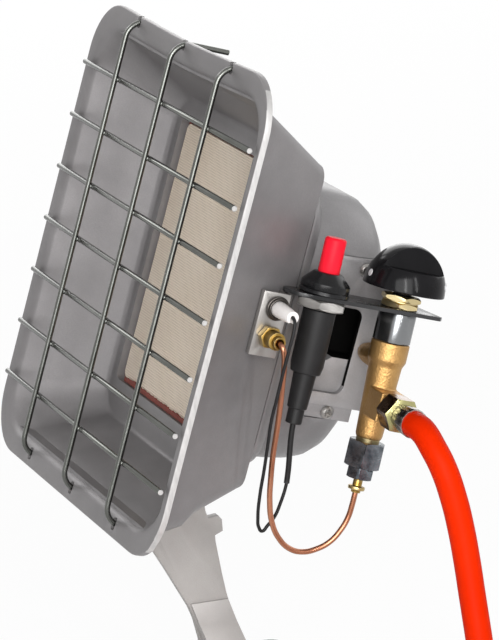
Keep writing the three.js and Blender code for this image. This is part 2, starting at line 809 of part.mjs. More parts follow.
const coverBlock = sideBar(intakeLength, intakeHeight, intakeCorner, intakeDepth)
  .translate(intakeFace, intakeMiddle, intakeRise);
const coverCavity = sideBar(cavityLength, cavityHeight, intakeCorner - intakeWall / 2,
  intakeDepth).translate(intakeFace - intakeWall, intakeMiddle, cavityRise);
const windowMiddle = intakeFront + windowFromFront + windowLength / 2;
const windowRise = intakeTop - windowFromTop - windowHeight / 2;
const window = sideBar(windowLength, windowHeight, windowCorner, intakeDepth)
  .translate(intakeFace + overrun, windowMiddle, windowRise);
const stripStep = block(stripSetBack + overrun, intakeLength + 2 * overrun, stripHeight + overrun)
  .translate(intakeFace - stripSetBack / 2 + overrun / 2, intakeMiddle,
    intakeTop - intakeHeight + stripHeight / 2 - overrun / 2);
const stripEnd = block(intakeDepth * 2, stripEndSetBack + overrun, stripHeight + overrun)
  .translate(intakeFace, intakeBack - stripEndSetBack / 2 + overrun / 2,
    intakeTop - intakeHeight + stripHeight / 2 - overrun / 2);
const scoopDepth = intakeDepth - scoopSetBack;
const scoop = block(scoopDepth, cavityLength + intakeWall, scoopHeight)
  .translate(intakeFace - scoopSetBack - scoopDepth / 2, intakeMiddle,
    windowRise - windowHeight / 2 + scoopHeight / 2);
const coverShell = cut(coverBlock, coverCavity, window, stripStep, stripEnd)
  .add(cut(scoop, rod(windowLength * 2, intakeDepth * 2)
    .rotateY(quarterTurn)
    .translate(intakeFace - intakeDepth, windowMiddle - windowLength / 2,
      windowRise - windowHeight / 2 + scoopHeight + windowLength * scoopCurveShare)));
head.add(place('air_intake', cut(coverShell, screwBore(lowerScrew), screwBore(upperScrew)),
  castAluminium));

const screwBody = join(
  turnedShares(screwHeadShares, screwHeadDiameter, screwHeadHeight, smallSteps),
  rod(screwShank, screwLength, smallSteps).translate(0, 0, weldDepth - screwLength));
const screwCross = [0, quarterTurn].map((angle) => block(screwSlotLength, screwSlotWidth,
  screwHeadHeight).rotateZ(angle).translate(0, 0, screwHeadHeight));
const crossScrew = cut(screwBody, ...screwCross);
for (const [name, [back, rise], face] of [
  ['intake_screw_lower', lowerScrew, intakeFace - stripSetBack],
  ['intake_screw_upper', upperScrew, intakeFace]]) {
  const screw = place(name, crossScrew, zincSteel, face + fitGap, back, rise);
  screw.rotation.y = quarterTurn;
  head.add(screw);
}

// Control plate

// plate, valve and igniter share one leaning frame: its zero is on the valve's plane
const controls = new THREE.Group();
controls.position.set(valveAcross, 0, -controlsDrop);
controls.rotation.y = -THREE.MathUtils.degToRad(controlsLeanDegrees);
head.add(controls);

const plateBottom = plateTop - plateThickness;
const plateInnerEdge = plateOuterEdge - plateWidth;
const plateFrontEdge = plateOuterEdge - plateFrontWidth;
const plateShape = new THREE.Shape();
plateShape.moveTo(plateFrontEdge, plateRoundCentre);
plateShape.absarc(plateFrontEdge + plateFrontWidth / 2, plateRoundCentre, plateFrontWidth / 2,
  Math.PI, fullTurn, false);
plateShape.lineTo(plateOuterEdge, plateBackEnd - plateCorner);
plateShape.lineTo(plateOuterEdge - plateCorner, plateBackEnd);
plateShape.lineTo(plateInnerEdge + plateCorner, plateBackEnd);
plateShape.lineTo(plateInnerEdge, plateBackEnd - plateCorner);
plateShape.lineTo(plateInnerEdge, plateWideStart);
plateShape.lineTo(plateFrontEdge, plateWideStart - plateShoulder);
const controlPlate = cut(prism(plateShape, plateThickness, 2 * cornerSteps)
  .translate(0, 0, plateBottom),
rod(neckThread + 2 * fitGap, plateThickness + 2 * overrun)
  .translate(0, valveBack, plateBottom - overrun),
rod(piezoThread + 2 * fitGap, plateThickness + 2 * overrun)
  .translate(0, piezoBack, plateBottom - overrun));
controls.add(place('control_plate', controlPlate, blackSteel));

// Valve

// the valve's own frame: its axis is Z, with zero at the plate's lower face
const valve = new THREE.Group();
valve.position.set(0, valveBack, plateBottom);
controls.add(valve);

const sleeveTop = -fitGap;
const sleeveBottom = sleeveTop - sleeveLength;
valve.add(place('valve_sleeve', cut(
  prism(roundedShape(sleeveAcross, sleeveAcross, sleeveCorner), sleeveLength)
    .rotateZ(THREE.MathUtils.degToRad(sleeveTurnDegrees)).translate(0, 0, sleeveBottom),
  rod(neckThread + 2 * fitGap, sleeveLength + 2 * overrun)
    .translate(0, 0, sleeveBottom - overrun)), greySteel));

const bodyTop = sleeveBottom - fitGap;
const collarEnd = bodyTop - collarLength;
const bodyBottom = bodyTop - bodyLength;
const threadEnd = bodyBottom - threadLength;
const outletReach = valveAcross - intakeFace - 2 * fitGap;
const inletTilt = THREE.MathUtils.degToRad(inletTiltDegrees);
const stemTop = plateThickness + neckRise;

// laid along the inlet's axis, which points out to +X and a little down
function alongInlet(geometry, start) {
  return geometry.translate(0, 0, start).rotateY(quarterTurn + inletTilt)
    .translate(0, 0, -inletDrop);
}

const valveCore = turned([[0, threadEnd], [threadDiameter / 2, threadEnd],
  [threadDiameter / 2, bodyBottom], [bodyBottomDiameter / 2, bodyBottom],
  [bodyTopDiameter / 2, collarEnd - collarTaper], [collarDiameter / 2, collarEnd],
  [collarDiameter / 2, bodyTop], [neckThread / 2, bodyTop], [neckThread / 2, stemTop],
  [0, stemTop]]);
const outlet = alongX(turnedShares(outletShares, outletDiameter, outletReach), -1)
  .translate(0, 0, -outletDrop);
const inletBoss = alongInlet(block(inletBossAcross, inletBossAcross, inletBossLength),
  inletBossLength / 2);
const inletSpigot = alongInlet(rod(inletSpigotDiameter, inletSpigotLength + weldDepth),
  inletBossLength - weldDepth);
const boreFloor = stemTop - neckBoreDepth;
valve.add(place('valve_body', cut(join(valveCore, outlet, inletBoss, inletSpigot),
  rod(neckBore, neckBoreDepth + overrun).translate(0, 0, boreFloor),
  rod(spindleDiameter + 2 * fitGap, spindleWell + overrun)
    .translate(0, 0, boreFloor - spindleWell)), brass));

const panelNut = cut(join(hexagon(panelNutAcross, panelNutHeight),
  hexagon(panelNutAcross, panelNutHeight).rotateZ(fullTurn / 24)
    .translate(0, 0, panelNutHeight - weldDepth / 4)),
rod(neckThread + 2 * fitGap, 2 * panelNutHeight + 2 * overrun).translate(0, 0, -overrun));
valve.add(place('valve_panel_nut', panelNut, brass, 0, 0, plateThickness + fitGap));

// Knob, turned and pressed

const knobBase = plateThickness + knobStandOff;
const knobDome = turned([[0, 0], [knobDiameter / 2, 0], [knobDiameter / 2, knobSkirt],
  ...knobDomeShares.map(([radiusShare, heightShare]) => [radiusShare * knobDiameter / 2,
    Math.max(heightShare * knobHeight, knobSkirt)])], knobSteps);
const knobHollow = turned([[knobHubDiameter / 2, -overrun],
  [knobDiameter / 2 - knobWall, -overrun], [knobDiameter / 2 - knobWall, knobSkirt - knobWall],
  [knobDiameter / 2 - 2 * knobWall, knobSkirt], [knobHubDiameter / 2, knobSkirt],
  [knobHubDiameter / 2, -overrun]]);
const knobHub = rod(knobHubDiameter, knobHubDrop + knobSkirt + weldDepth)
  .translate(0, 0, -knobHubDrop);
const knobCuts = [1, -1].map((side) => block(knobDiameter, knobDiameter + overrun, knobHeight)
  .translate(side * (knobDiameter + knobRibWidth) / 2, 0, knobCutFloor + knobHeight / 2));
const knobMark = alongX(rod(knobMarkDiameter, knobMarkDepth + overrun)).rotateZ(-quarterTurn)
  .translate(0, knobMarkDepth - knobDiameter / 2, knobMarkRise);

// a round bar with one side flattened, so that what it fits turns with it
function keyed(diameter, flat, length) {
  return cut(rod(diameter, length), block(diameter, diameter, 3 * length)
    .translate(diameter - flat, 0, 0));
}

const keySocket = keyed(spindleDiameter + 2 * fitGap, spindleFlat + fitGap / 2,
  knobHubDrop + knobSocket + overrun).translate([0, 0, -knobHubDrop - overrun]);
const knobBody = cut(cut(knobDome, knobHollow, ...knobCuts, knobMark).add(solid(knobHub)))
  .subtract(keySocket);
valve.add(place('valve_knob', knobBody, blackPlastic, 0, 0, knobBase));

// spindle of the knob, flattened all along one side, down through the keyed ring
const spindleTop = knobBase + knobSocket - fitGap;
const spindleFoot = boreFloor - spindleWell + knobTravel + fitGap;
valve.add(place('valve_spindle', keyed(spindleDiameter, spindleFlat, spindleTop - spindleFoot),
  greySteel, 0, 0, spindleFoot));
const driverFoot = boreFloor + fitGap;
const driver = solid(rod(neckBore - 2 * fitGap, driverLength)).subtract(
  keyed(spindleDiameter + 2 * fitGap, spindleFlat + fitGap / 2, driverLength + 2 * overrun)
    .translate([0, 0, -overrun]));
valve.add(place('valve_driver', driver, greySteel, 0, 0, driverFoot));

// return spring between the keyed ring and the knob's hub, as a plain sleeve
const springFoot = driverFoot + driverLength + fitGap;
const springLength = knobBase - knobHubDrop - fitGap - springFoot;
const springRadius = neckBore / 2 - fitGap;
valve.add(place('knob_spring', turned([[springRadius - springWire, 0], [springRadius, 0],
  [springRadius, springLength], [springRadius - springWire, springLength],
  [springRadius - springWire, 0]], smallSteps), greySteel, 0, 0, springFoot));

// Flame sensor's end of the valve

const magnetTop = threadEnd + magnetGrip;
const magnetBottom = magnetTop - magnetHexLength;
const magnetFoot = magnetBottom - lowerHexLength;
valve.add(place('magnet_adapter', cut(join(
  hexagon(magnetHexAcross, magnetHexLength).translate(0, 0, magnetBottom),
  hexagon(lowerHexAcross, lowerHexLength + weldDepth).translate(0, 0, magnetFoot)),
rod(threadDiameter + 2 * fitGap, magnetHexLength).translate(0, 0, threadEnd - fitGap)),
greySteel));

const glandTop = magnetFoot - fitGap;
valve.add(place('thermocouple_gland', cut(
  turnedShares(glandShares, glandDiameter, glandLength, smallSteps),
  rod(copperDiameter + 2 * fitGap, glandBoreDepth + overrun)
    .translate(0, 0, -glandLength - overrun)), brass, 0, 0, glandTop));

// Push-button igniter

const piezo = new THREE.Group();
piezo.position.set(0, piezoBack, plateBottom);
controls.add(piezo);

const piezoNutTop = -fitGap;
const piezoBodyTop = piezoNutTop - piezoNutHeight - fitGap;
const piezoStepTop = piezoBodyTop - piezoBodyLength;
const piezoTipTop = piezoStepTop - piezoStepLength;
const piezoFoot = piezoTipTop - piezoTipLength;
const piezoStemTop = plateThickness + piezoStemRise;
const [stepEndShare, bodyEndShare] = piezoTaperShares;
piezo.add(place('piezo_body', cut(turned([[0, piezoFoot], [piezoTipDiameter / 2, piezoFoot],
  [piezoTipDiameter / 2, piezoTipTop], [stepEndShare * piezoStepDiameter / 2, piezoTipTop],
  [piezoStepDiameter / 2, piezoStepTop], [bodyEndShare * piezoBodyDiameter / 2, piezoStepTop],
  [piezoBodyDiameter / 2, piezoStepTop + piezoTaper],
  [piezoBodyDiameter / 2, piezoBodyTop], [piezoThread / 2, piezoBodyTop],
  [piezoThread / 2, piezoStemTop], [0, piezoStemTop]]),
rod(buttonStem + 2 * fitGap, piezoWellDepth + overrun)
  .translate(0, 0, piezoStemTop - piezoWellDepth),
rod(piezoTipBore, piezoTipBoreDepth + overrun).translate(0, 0, piezoFoot - overrun)),
mattBlack));

piezo.add(place('piezo_nut', cut(hexagon(piezoNutAcross, piezoNutHeight),
  rod(piezoThread + 2 * fitGap, piezoNutHeight + 2 * overrun).translate(0, 0, -overrun)),
zincSteel, 0, 0, piezoNutTop - piezoNutHeight));

const collarBase = plateThickness + fitGap;
piezo.add(place('piezo_collar', turned([[piezoThread / 2 + fitGap, 0],
  ...piezoCollarShares.map(([wide, high]) => [wide * piezoCollarDiameter / 2,
    high * piezoCollarRim]), [piezoCollarTop / 2, piezoCollarHeight],
  [buttonDiameter / 2 + 2 * fitGap, piezoCollarHeight],
  [buttonDiameter / 2 + 2 * fitGap, piezoCollarRim + fitGap],
  [piezoThread / 2 + fitGap, piezoCollarRim + fitGap], [piezoThread / 2 + fitGap, 0]]),
blackPlastic, 0, 0, collarBase));

const buttonRest = collarBase + piezoCollarHeight;
const stemReach = piezoWellDepth - buttonTravel - 2 * fitGap;
piezo.add(place('piezo_button', turned([[0, piezoStemTop - stemReach],
  [buttonStem / 2, piezoStemTop - stemReach], [buttonStem / 2, buttonRest - fitGap],
  [buttonDiameter / 2, buttonRest - fitGap],
  [buttonDiameter / 2, buttonRest + buttonHeight - buttonRound],
  [buttonDiameter / 2 - buttonRound, buttonRest + buttonHeight],
  [0, buttonRest + buttonHeight]]), redPlastic));

// Sensor bracket on the side wall

const bracketBack = bracketFront + bracketLength;

// where a foot of the bracket meets the reflector's side wall
function footAt(back) {
  return wallAt(back).width / 2 + footGap;
}

const bracketShape = new THREE.Shape();
bracketShape.moveTo(bracketFace, bracketFront);
bracketShape.lineTo(bracketFace, bracketBack);
bracketShape.lineTo(footAt(bracketBack), bracketBack);
bracketShape.lineTo(footAt(bracketBack - bracketThickness), bracketBack - bracketThickness);
bracketShape.lineTo(bracketFace - bracketThickness, bracketBack - bracketThickness);
bracketShape.lineTo(bracketFace - bracketThickness, bracketFront + bracketThickness);
bracketShape.lineTo(footAt(bracketFront + bracketThickness), bracketFront + bracketThickness);
bracketShape.lineTo(footAt(bracketFront), bracketFront);
const bracket = cut(prism(bracketShape, bracketHeight).translate(0, 0, bracketTop - bracketHeight),
  alongX(rod(insulatorDiameter + 2 * fitGap, 4 * bracketThickness))
    .translate(bracketFace - 3 * bracketThickness, electrodeBack, electrodeUp),
  alongX(rod(thermoSheath + 2 * fitGap, 4 * bracketThickness))
    .translate(bracketFace - 3 * bracketThickness, thermoBack, thermoUp));
head.add(place('sensor_bracket', bracket, zincSteel));

const insulator = new THREE.Group();
insulator.position.set(bracketFace, electrodeBack, electrodeUp);
insulator.rotation.y = quarterTurn;
head.add(insulator);
const [innerWideShare, innerLongShare] = insulatorEndShares;
insulator.add(place('electrode_insulator', cut(turned([[0, -insulatorIn],
  [innerWideShare * insulatorDiameter / 2, -insulatorIn],
  [insulatorDiameter / 2, -insulatorIn * innerLongShare],
  [insulatorDiameter / 2, insulatorOut * insulatorStraightShare], [insulatorTip / 2, insulatorOut],
  [0, insulatorOut]]),
rod(insulatorBore, insulatorBoreDepth + overrun)
  .translate(0, 0, insulatorOut - insulatorBoreDepth),
block(insulatorTip, insulatorBore, insulatorBoreDepth)
  .translate(insulatorTip / 2, 0, insulatorOut)), glazedCeramic));

insulator.add(place('spark_electrode', rod(rodDiameter, rodReach, smallSteps), greySteel,
  0, 0, -insulatorIn - fitGap - rodReach));

// the clip is two turns of spring wire round the insulator, with straight ends
const clipRadius = insulatorDiameter / 2 + fitGap + clipWire / 2;
const clipRise = clipWire + clipTurnGap;
const clipRoute = [];
for (let step = 0; step <= clipTurns * clipLoopSteps; step += 1) {
  const angle = step / clipLoopSteps * fullTurn;
  clipRoute.push(new THREE.Vector3(clipRadius * Math.cos(angle), clipRadius * Math.sin(angle),
    clipRise * step / clipLoopSteps));
}

// straight runs of one length before and after a wound route
function withEnds(route, length) {
  const first = route[0].clone().sub(route[1]).setLength(length).add(route[0]);
  const last = route.at(-1).clone().sub(route.at(-2)).setLength(length).add(route.at(-1));
  return [first, ...route, last];
}

// least gap between turns that aren't next to each other along the tube
function leastGap(route, diameter, loopSteps) {
  let least = Infinity;
  for (let i = 0; i < route.length; i += 1) {
    for (let j = i + Math.round(loopSteps / 2); j < route.length; j += 1) {
      least = Math.min(least, route[i].distanceTo(route[j]) - diameter);
    }
  }
  return least;
}

const clipPath = withEnds(clipRoute, clipWire);
insulator.add(place('insulator_clip', sweep(clipPath, clipWire, clipSides), greySteel,
  0, 0, fitGap + clipWire / 2));
console.log(`insulator clip: least gap ${leastGap(clipPath, clipWire, clipLoopSteps).toFixed(2)}`);

const thermo = new THREE.Group();
thermo.position.set(bracketFace, thermoBack, thermoUp);
thermo.rotation.y = quarterTurn;
head.add(thermo);
thermo.add(place('thermocouple_nut', cut(join(
  hexagon(thermoNutFlange, thermoHexLength),
  rod(thermoNutAcross, thermoBarrelLength, smallSteps),
  rod(thermoNutTip, thermoNutLength, smallSteps)),
rod(thermoSheath + 2 * fitGap, 3 * thermoNutLength).translate(0, 0, -thermoNutLength)), brass,
0, 0, fitGap));
const [tipWideShare, tipLongShare] = thermoTipShares;
thermo.add(place('thermocouple_tip', turned([[0, -thermoSheathReach],
  [tipWideShare * thermoSheath / 2, -thermoSheathReach],
  [thermoSheath / 2, -thermoSheathReach * tipLongShare],
  [thermoSheath / 2, thermoSheathOut], [0, thermoSheathOut]], smallSteps), greySteel));

// Leads

// a place in the controls' leaning frame, given in the head's frame
controls.updateMatrix();
function onControls(back, rise) {
  return new THREE.Vector3(0, back, plateBottom + rise).applyMatrix4(controls.matrix);
}

// copper lead: rigid tube from the sensor's nut down, round and up into the gland
const copperStart = new THREE.Vector3(bracketFace + thermoSheathOut + 2 * fitGap, thermoBack,
  thermoUp);
const glandMouth = onControls(valveBack, glandTop - glandLength);
const copperRoute = [
  copperStart,
  copperStart.clone().add(new THREE.Vector3(copperStub, 0, 0)),
  ...copperShares.map(([bowShare, crossShare, dropShare]) => new THREE.Vector3(
    THREE.MathUtils.lerp(copperStart.x, glandMouth.x, crossShare) + bowShare * copperBow,
    THREE.MathUtils.lerp(copperStart.y, glandMouth.y, crossShare),
    copperStart.z - dropShare * copperDrop)),
  glandMouth,
  onControls(valveBack, glandTop - glandLength + glandBoreDepth - 2 * fitGap),
];
head.add(place('thermocouple_lead', tubeAlong(copperRoute, copperDiameter, leadSides, leadSteps),
  copper));

// ignition lead: a limp cable that hangs from the insulator to the igniter's foot
const leadStart = new THREE.Vector3(bracketFace + insulatorOut
  - insulatorBoreDepth * leadEntryShare, electrodeBack, electrodeUp);
const bootEnd = new THREE.Vector3(101, 77.9, -78.6);
const leadRoute = [
  leadStart,
  new THREE.Vector3(118.1, 48.2, 11), new THREE.Vector3(120.2, 48.4, 9.6),
  new THREE.Vector3(121.4, 48.6, 5), new THREE.Vector3(121, 48.9, -4.4),
  new THREE.Vector3(119.4, 49.8, -16), new THREE.Vector3(117, 51.4, -31),
  new THREE.Vector3(114, 53.2, -44), new THREE.Vector3(110.5, 56.9, -60),
  new THREE.Vector3(107, 60.2, -73), new THREE.Vector3(104, 63, -85.9),
  new THREE.Vector3(100.5, 67.1, -98.9), new THREE.Vector3(98.8, 70.1, -104.6),
  new THREE.Vector3(98.5, 72.5, -106.3), new THREE.Vector3(98.6, 74.8, -102.9),
  new THREE.Vector3(99.4, 77, -97.4), new THREE.Vector3(100.4, 77.7, -90.1), bootEnd,
];
head.add(place('ignition_lead', tubeAlong(leadRoute, leadDiameter, leadSides, leadSteps),
  blackPlastic));
const bootRoute = [
  bootEnd.clone().add(new THREE.Vector3(0, 0, fitGap)),
  new THREE.Vector3(101, 76.8, -70.8), new THREE.Vector3(101, 74.9, -61.3),
  new THREE.Vector3(100.95, 73.4, -53), onControls(piezoBack, piezoFoot),
  onControls(piezoBack, piezoFoot + piezoTipBoreDepth / 2),
];
head.add(place('lead_boot', tubeAlong(bootRoute, bootDiameter, bootSides, bootSteps), mattBlack));

// Hose fittings on the valve

const fittings = new THREE.Group();
fittings.position.set(0, 0, -inletDrop);
fittings.rotation.y = quarterTurn + inletTilt;
valve.add(fittings);
const nutStart = inletBossLength + fitGap;
fittings.add(place('hose_nut', cut(hexagon(hoseNutAcross, hoseNutLength),
  rod(hoseNutBore, hoseNutLength + 2 * overrun).translate(0, 0, -overrun),
  rod(inletSpigotDiameter + 2 * fitGap, hoseNutThread + overrun).translate(0, 0, -overrun)),
yellowZinc, 0, 0, nutStart));
const ferruleStart = nutStart + hoseNutLength + fitGap;
const ferruleFloor = ferruleLength - ferruleMouth;
const [neckWideShare, neckLongShare] = ferruleNeckShares;
fittings.add(place('hose_ferrule', turned([[0, 0], [neckWideShare * ferruleDiameter / 2, 0],
  [ferruleDiameter / 2, ferruleLength * neckLongShare], [ferruleDiameter / 2, ferruleLength],
  [ferruleDiameter / 2 - ferruleWall, ferruleLength],
  [ferruleDiameter / 2 - ferruleWall, ferruleFloor], [0, ferruleFloor]]),
zincSteel, 0, 0, ferruleStart));

// Hose

heater.updateMatrixWorld(true);
const hoseMouth = fittings.localToWorld(new THREE.Vector3(0, 0,
  ferruleStart + ferruleFloor + fitGap));
const hoseAim = fittings.localToWorld(new THREE.Vector3(0, 0,
  ferruleStart + ferruleLength + hoseDiameter)).sub(hoseMouth).normalize();

// the free stretch hangs down to the coil, in the whole part's axes from the guard's middle
const coilStart = new THREE.Vector3(272, 123, 0);
coilStart.z = hoseDiameter / 2 + fitGap + coilPitch - floorDrop;
const hoseRoute = [
  hoseMouth,
  hoseMouth.clone().addScaledVector(hoseAim, ferruleMouth + fitGap),
  new THREE.Vector3(152.8, 106.6, -60.2), new THREE.Vector3(160.6, 108.2, -66.4),
  new THREE.Vector3(167.4, 110.8, -75.6), new THREE.Vector3(172.2, 114.4, -90.4),
  new THREE.Vector3(175.9, 117, -105.8), new THREE.Vector3(179.6, 118.7, -121.7),
  new THREE.Vector3(184, 120, -140),
  new THREE.Vector3(188.7, 121.2, -158.3), new THREE.Vector3(193.4, 122.2, -176),
  new THREE.Vector3(198.8, 122.8, -191), new THREE.Vector3(206.6, 123, -206),
  new THREE.Vector3(217.4, 123, -220), new THREE.Vector3(230.8, 123, -231.4),
  new THREE.Vector3(246, 123, -239), coilStart.clone().sub(new THREE.Vector3(hoseDiameter, 0, 0)),
  coilStart.clone().sub(new THREE.Vector3(fitGap, 0, 0)),
];
heater.add(place('hose', tubeAlong(hoseRoute, hoseDiameter, hoseSides, hoseSteps), orangeRubber));

// the coil winds in along its upper layer, drops, and winds out again on the floor
const coilRoute = [];
for (let step = 0; step <= Math.round(coilTurns * coilLoopSteps); step += 1) {
  const turn = step / coilLoopSteps;
  const radius = coilOuterRadius - coilPitch * Math.min(turn, coilTurns - turn);
  const angle = turn * fullTurn;
  const dropStart = (coilTurns - coilDropTurns) / 2;
  const drop = coilPitch * THREE.MathUtils.smoothstep(turn, dropStart, dropStart + coilDropTurns);
  coilRoute.push(coilStart.clone().add(new THREE.Vector3(
    hoseDiameter + radius * Math.sin(angle), radius * Math.cos(angle) - coilOuterRadius, -drop)));
}
const coilEndAngle = coilTurns * fullTurn;
const coilAim = new THREE.Vector3(Math.cos(coilEndAngle), -Math.sin(coilEndAngle), 0);
const coilEnd = coilRoute.at(-1).clone().addScaledVector(coilAim, hoseDiameter);
const coilPath = [coilStart, ...coilRoute, coilEnd];
heater.add(place('hose_coil', sweep(coilPath, hoseDiameter, coilSides), orangeRubber));
console.log(`hose coil: least gap ${leastGap(coilPath, hoseDiameter, coilLoopSteps).toFixed(2)}`);

const endFitting = new THREE.Group();
endFitting.position.copy(coilEnd);
endFitting.quaternion.setFromUnitVectors(new THREE.Vector3(0, 0, 1), coilAim);
heater.add(endFitting);
endFitting.add(place('hose_end_ferrule', turnedShares(endFerruleShares, hoseDiameter,
  endFerruleLength), zincSteel, 0, 0, fitGap));
endFitting.add(place('hose_end_nut', join(
  hexagon(endNutAcross, endNutLength).rotateZ(fullTurn / 12)
    .translate(0, 0, endFerruleLength + 2 * fitGap),
  rod(endSpigotDiameter, endSpigotLength)
    .translate(0, 0, endFerruleLength + endNutLength)), brass));

// Stand

// neck outline: shares of its reach and height from its zero
const neckShares = [[0.17, -0.3], [0.374, -0.491], [0.457, -0.599], [0.62, -0.823],
  [0.7, -0.97], [0.945, -0.97], [0.872, -0.771], [0.843, -0.671], [0.798, -0.493],
  [0.794, -0.458], [0.847, -0.44], [0.841, -0.38], [0.818, -0.358], [0.748, -0.364],
  [0.729, -0.324], [0.68, -0.12]];
const neckShape = new THREE.Shape([
  ...neckShares.map(([backShare, riseShare]) => new THREE.Vector2(
    neckFront + backShare * neckReach, neckZero + riseShare * neckHeight)),
  ...undersideLine(neckFront, neckCrest, -2 * fitGap)]);

const legShares = [[0.02, 0, 0], [0.045, -0.2, 0.2], [0.11, -0.42, 0.42], [0.3, -0.68, 0.66],
  [0.62, -0.87, 0.86], [1, -0.985, 1]];
const legTop = new THREE.Vector3(0, neckFront + neckReach * legTopShares[0],
  neckZero - neckHeight * legTopShares[1]);
const floor = -floorDrop;

function leg(side) {
  const middles = legShares.map(([spreadShare, dropShare, reachShare]) => new THREE.Vector3(
    side * spreadShare * legSpread, legTop.y + reachShare * legReach,
    legTop.z + dropShare * (legTop.z - floor - runnerHeight / 2)));
  const rings = middles.map((middle, i) => {
    const before = middles[Math.max(i - 1, 0)];
    const after = middles[Math.min(i + 1, middles.length - 1)];
    const along = new THREE.Vector3(after.x - before.x, 0, after.z - before.z).normalize();
    const normal = new THREE.Vector3(-along.z, 0, along.x);
    return [[1, 1], [1, -1], [-1, -1], [-1, 1]].map(([out, back]) => middle.clone()
      .addScaledVector(normal, out * legThickness / 2)
      .add(new THREE.Vector3(0, back * legWidth / 2, 0)));
  });
  return loft(rings);
}

function runner(side) {
  return prism(roundedShape(runnerWidth, runnerLength, runnerCorner), runnerHeight)
    .translate(side * legSpread, runnerFront + runnerLength / 2, floor);
}

const standBody = cut(join(standing(neckShape, neckThickness), leg(1), leg(-1), runner(1),
  runner(-1)), ...boltPlaces.map(boltBore));
heater.add(place('stand', standBody, standAluminium));

boltPlaces.forEach((at, i) => {
  const which = i === 0 ? 'front' : 'rear';
  const headSeat = neckThickness / 2 + fitGap;
  const nutSeat = -neckThickness / 2 - 2 * fitGap - lugThickness;
  const bolt = place(`stand_bolt_${which}`, join(
    hexagon(boltHeadAcross, boltHeadHeight).translate(0, 0, headSeat),
    rod(boltDiameter, headSeat - nutSeat + boltNutHeight + overrun, smallSteps)
      .translate(0, 0, nutSeat - boltNutHeight - overrun / 2)), zincSteel, 0, at.x, at.y);
  bolt.rotation.y = quarterTurn;
  heater.add(bolt);
  const nut = place(`stand_nut_${which}`, cut(hexagon(boltHeadAcross, boltNutHeight),
    rod(boltDiameter + 2 * fitGap, 2 * boltNutHeight + overrun).translate(0, 0, -overrun)),
  zincSteel, nutSeat - boltNutHeight - fitGap, at.x, at.y);
  nut.rotation.y = quarterTurn;
  heater.add(nut);
});

// Whole part on the floor

// the part stands on its runners, with its middle over the origin, cords left out
const cordNames = ['ignition_lead', 'lead_boot', 'hose', 'hose_coil', 'hose_end_ferrule',
  'hose_end_nut'];
heater.updateMatrixWorld(true);
const reachBox = new THREE.Box3();
heater.traverse((item) => {
  if (item.isMesh && !cordNames.includes(item.name)) reachBox.expandByObject(item, true);
});
const middle = reachBox.getCenter(new THREE.Vector3());
heater.position.set(-middle.x, -middle.y, -reachBox.min.z);

export default heater;
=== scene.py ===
# Looks for a portable gas radiant heater: cast reflector with wire guard, ceramic burner tile,
# press-knob valve, push-button igniter, sensor bracket, copper lead, orange hose and cast stand.
# Sizes are drawn in millimetres in the head's own frame and placed in metres by one matrix.

import math

import bmesh
import bpy
from mathutils import Matrix, Vector, noise


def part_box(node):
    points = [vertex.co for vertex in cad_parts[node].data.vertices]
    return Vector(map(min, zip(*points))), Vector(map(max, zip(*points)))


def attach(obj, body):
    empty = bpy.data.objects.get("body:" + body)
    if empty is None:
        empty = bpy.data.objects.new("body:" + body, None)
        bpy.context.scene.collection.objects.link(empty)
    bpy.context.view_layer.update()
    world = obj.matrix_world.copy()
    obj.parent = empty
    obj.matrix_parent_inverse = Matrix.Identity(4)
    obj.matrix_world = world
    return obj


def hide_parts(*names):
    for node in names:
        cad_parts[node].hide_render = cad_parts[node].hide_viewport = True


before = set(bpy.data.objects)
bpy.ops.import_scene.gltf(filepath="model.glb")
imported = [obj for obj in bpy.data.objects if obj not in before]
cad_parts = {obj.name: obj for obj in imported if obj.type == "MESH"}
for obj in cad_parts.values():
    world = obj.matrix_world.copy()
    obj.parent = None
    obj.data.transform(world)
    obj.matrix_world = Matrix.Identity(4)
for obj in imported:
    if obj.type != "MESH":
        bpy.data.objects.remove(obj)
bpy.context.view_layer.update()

# Places


def on(x=0, y=0, z=0):
    return Matrix.Translation((x, y, z))


def turn(degrees, axis="Z"):
    return Matrix.Rotation(math.radians(degrees), 4, axis)


lean = 15.85
control_lean = 3.6
control_side = 98.3
control_drop = 5
plate_top = 25.1
valve_depth = 117.7
igniter_depth = 72.7
inlet_drop = 47.7
guard_height = 265
neck_reach = 22
fit_gap = 0.3
MILLI = Matrix.Diagonal((0.001, 0.001, 0.001, 1))
guard_low, guard_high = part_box("guard_grille")
middle = Vector(((guard_low.x + guard_high.x) / 2,
                 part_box("stand")[0].y + neck_reach / 1000, guard_height / 1000))
WHOLE = Matrix.Translation(middle) @ MILLI
HEAD = WHOLE @ turn(-lean, "X")
CONTROLS = HEAD @ on(control_side, 0, -control_drop) @ turn(-control_lean, "Y")
VALVE = CONTROLS @ on(0, valve_depth, plate_top)
IGNITER = CONTROLS @ on(0, igniter_depth, plate_top)
UNION = VALVE @ on(z=-inlet_drop) @ turn(90 + control_lean, "Y")
into_head = HEAD.inverted()
into_whole = WHOLE.inverted()

# Camera, at the photograph's viewing angle

camera_away = Vector((1.7111, -0.6705, 0.5148))
camera_aim = Vector((-0.87865, 0.38368, -0.2842))
camera = bpy.data.objects.new("camera", bpy.data.cameras.new("camera"))
camera.data.lens = 202.5
camera.data.sensor_width = 36
camera.data.clip_end = 50
camera.location = middle + camera_away
camera.rotation_euler = camera_aim.to_track_quat("-Z", "Y").to_euler()
bpy.context.collection.objects.link(camera)
bpy.context.scene.camera = camera

# Node materials


def shader(name):
    material = bpy.data.materials.new(name)
    material.use_nodes = True
    tree = material.node_tree
    surface = tree.nodes["Principled BSDF"]
    place = tree.nodes.new("ShaderNodeTexCoord").outputs["Object"]
    return material, tree, surface, place


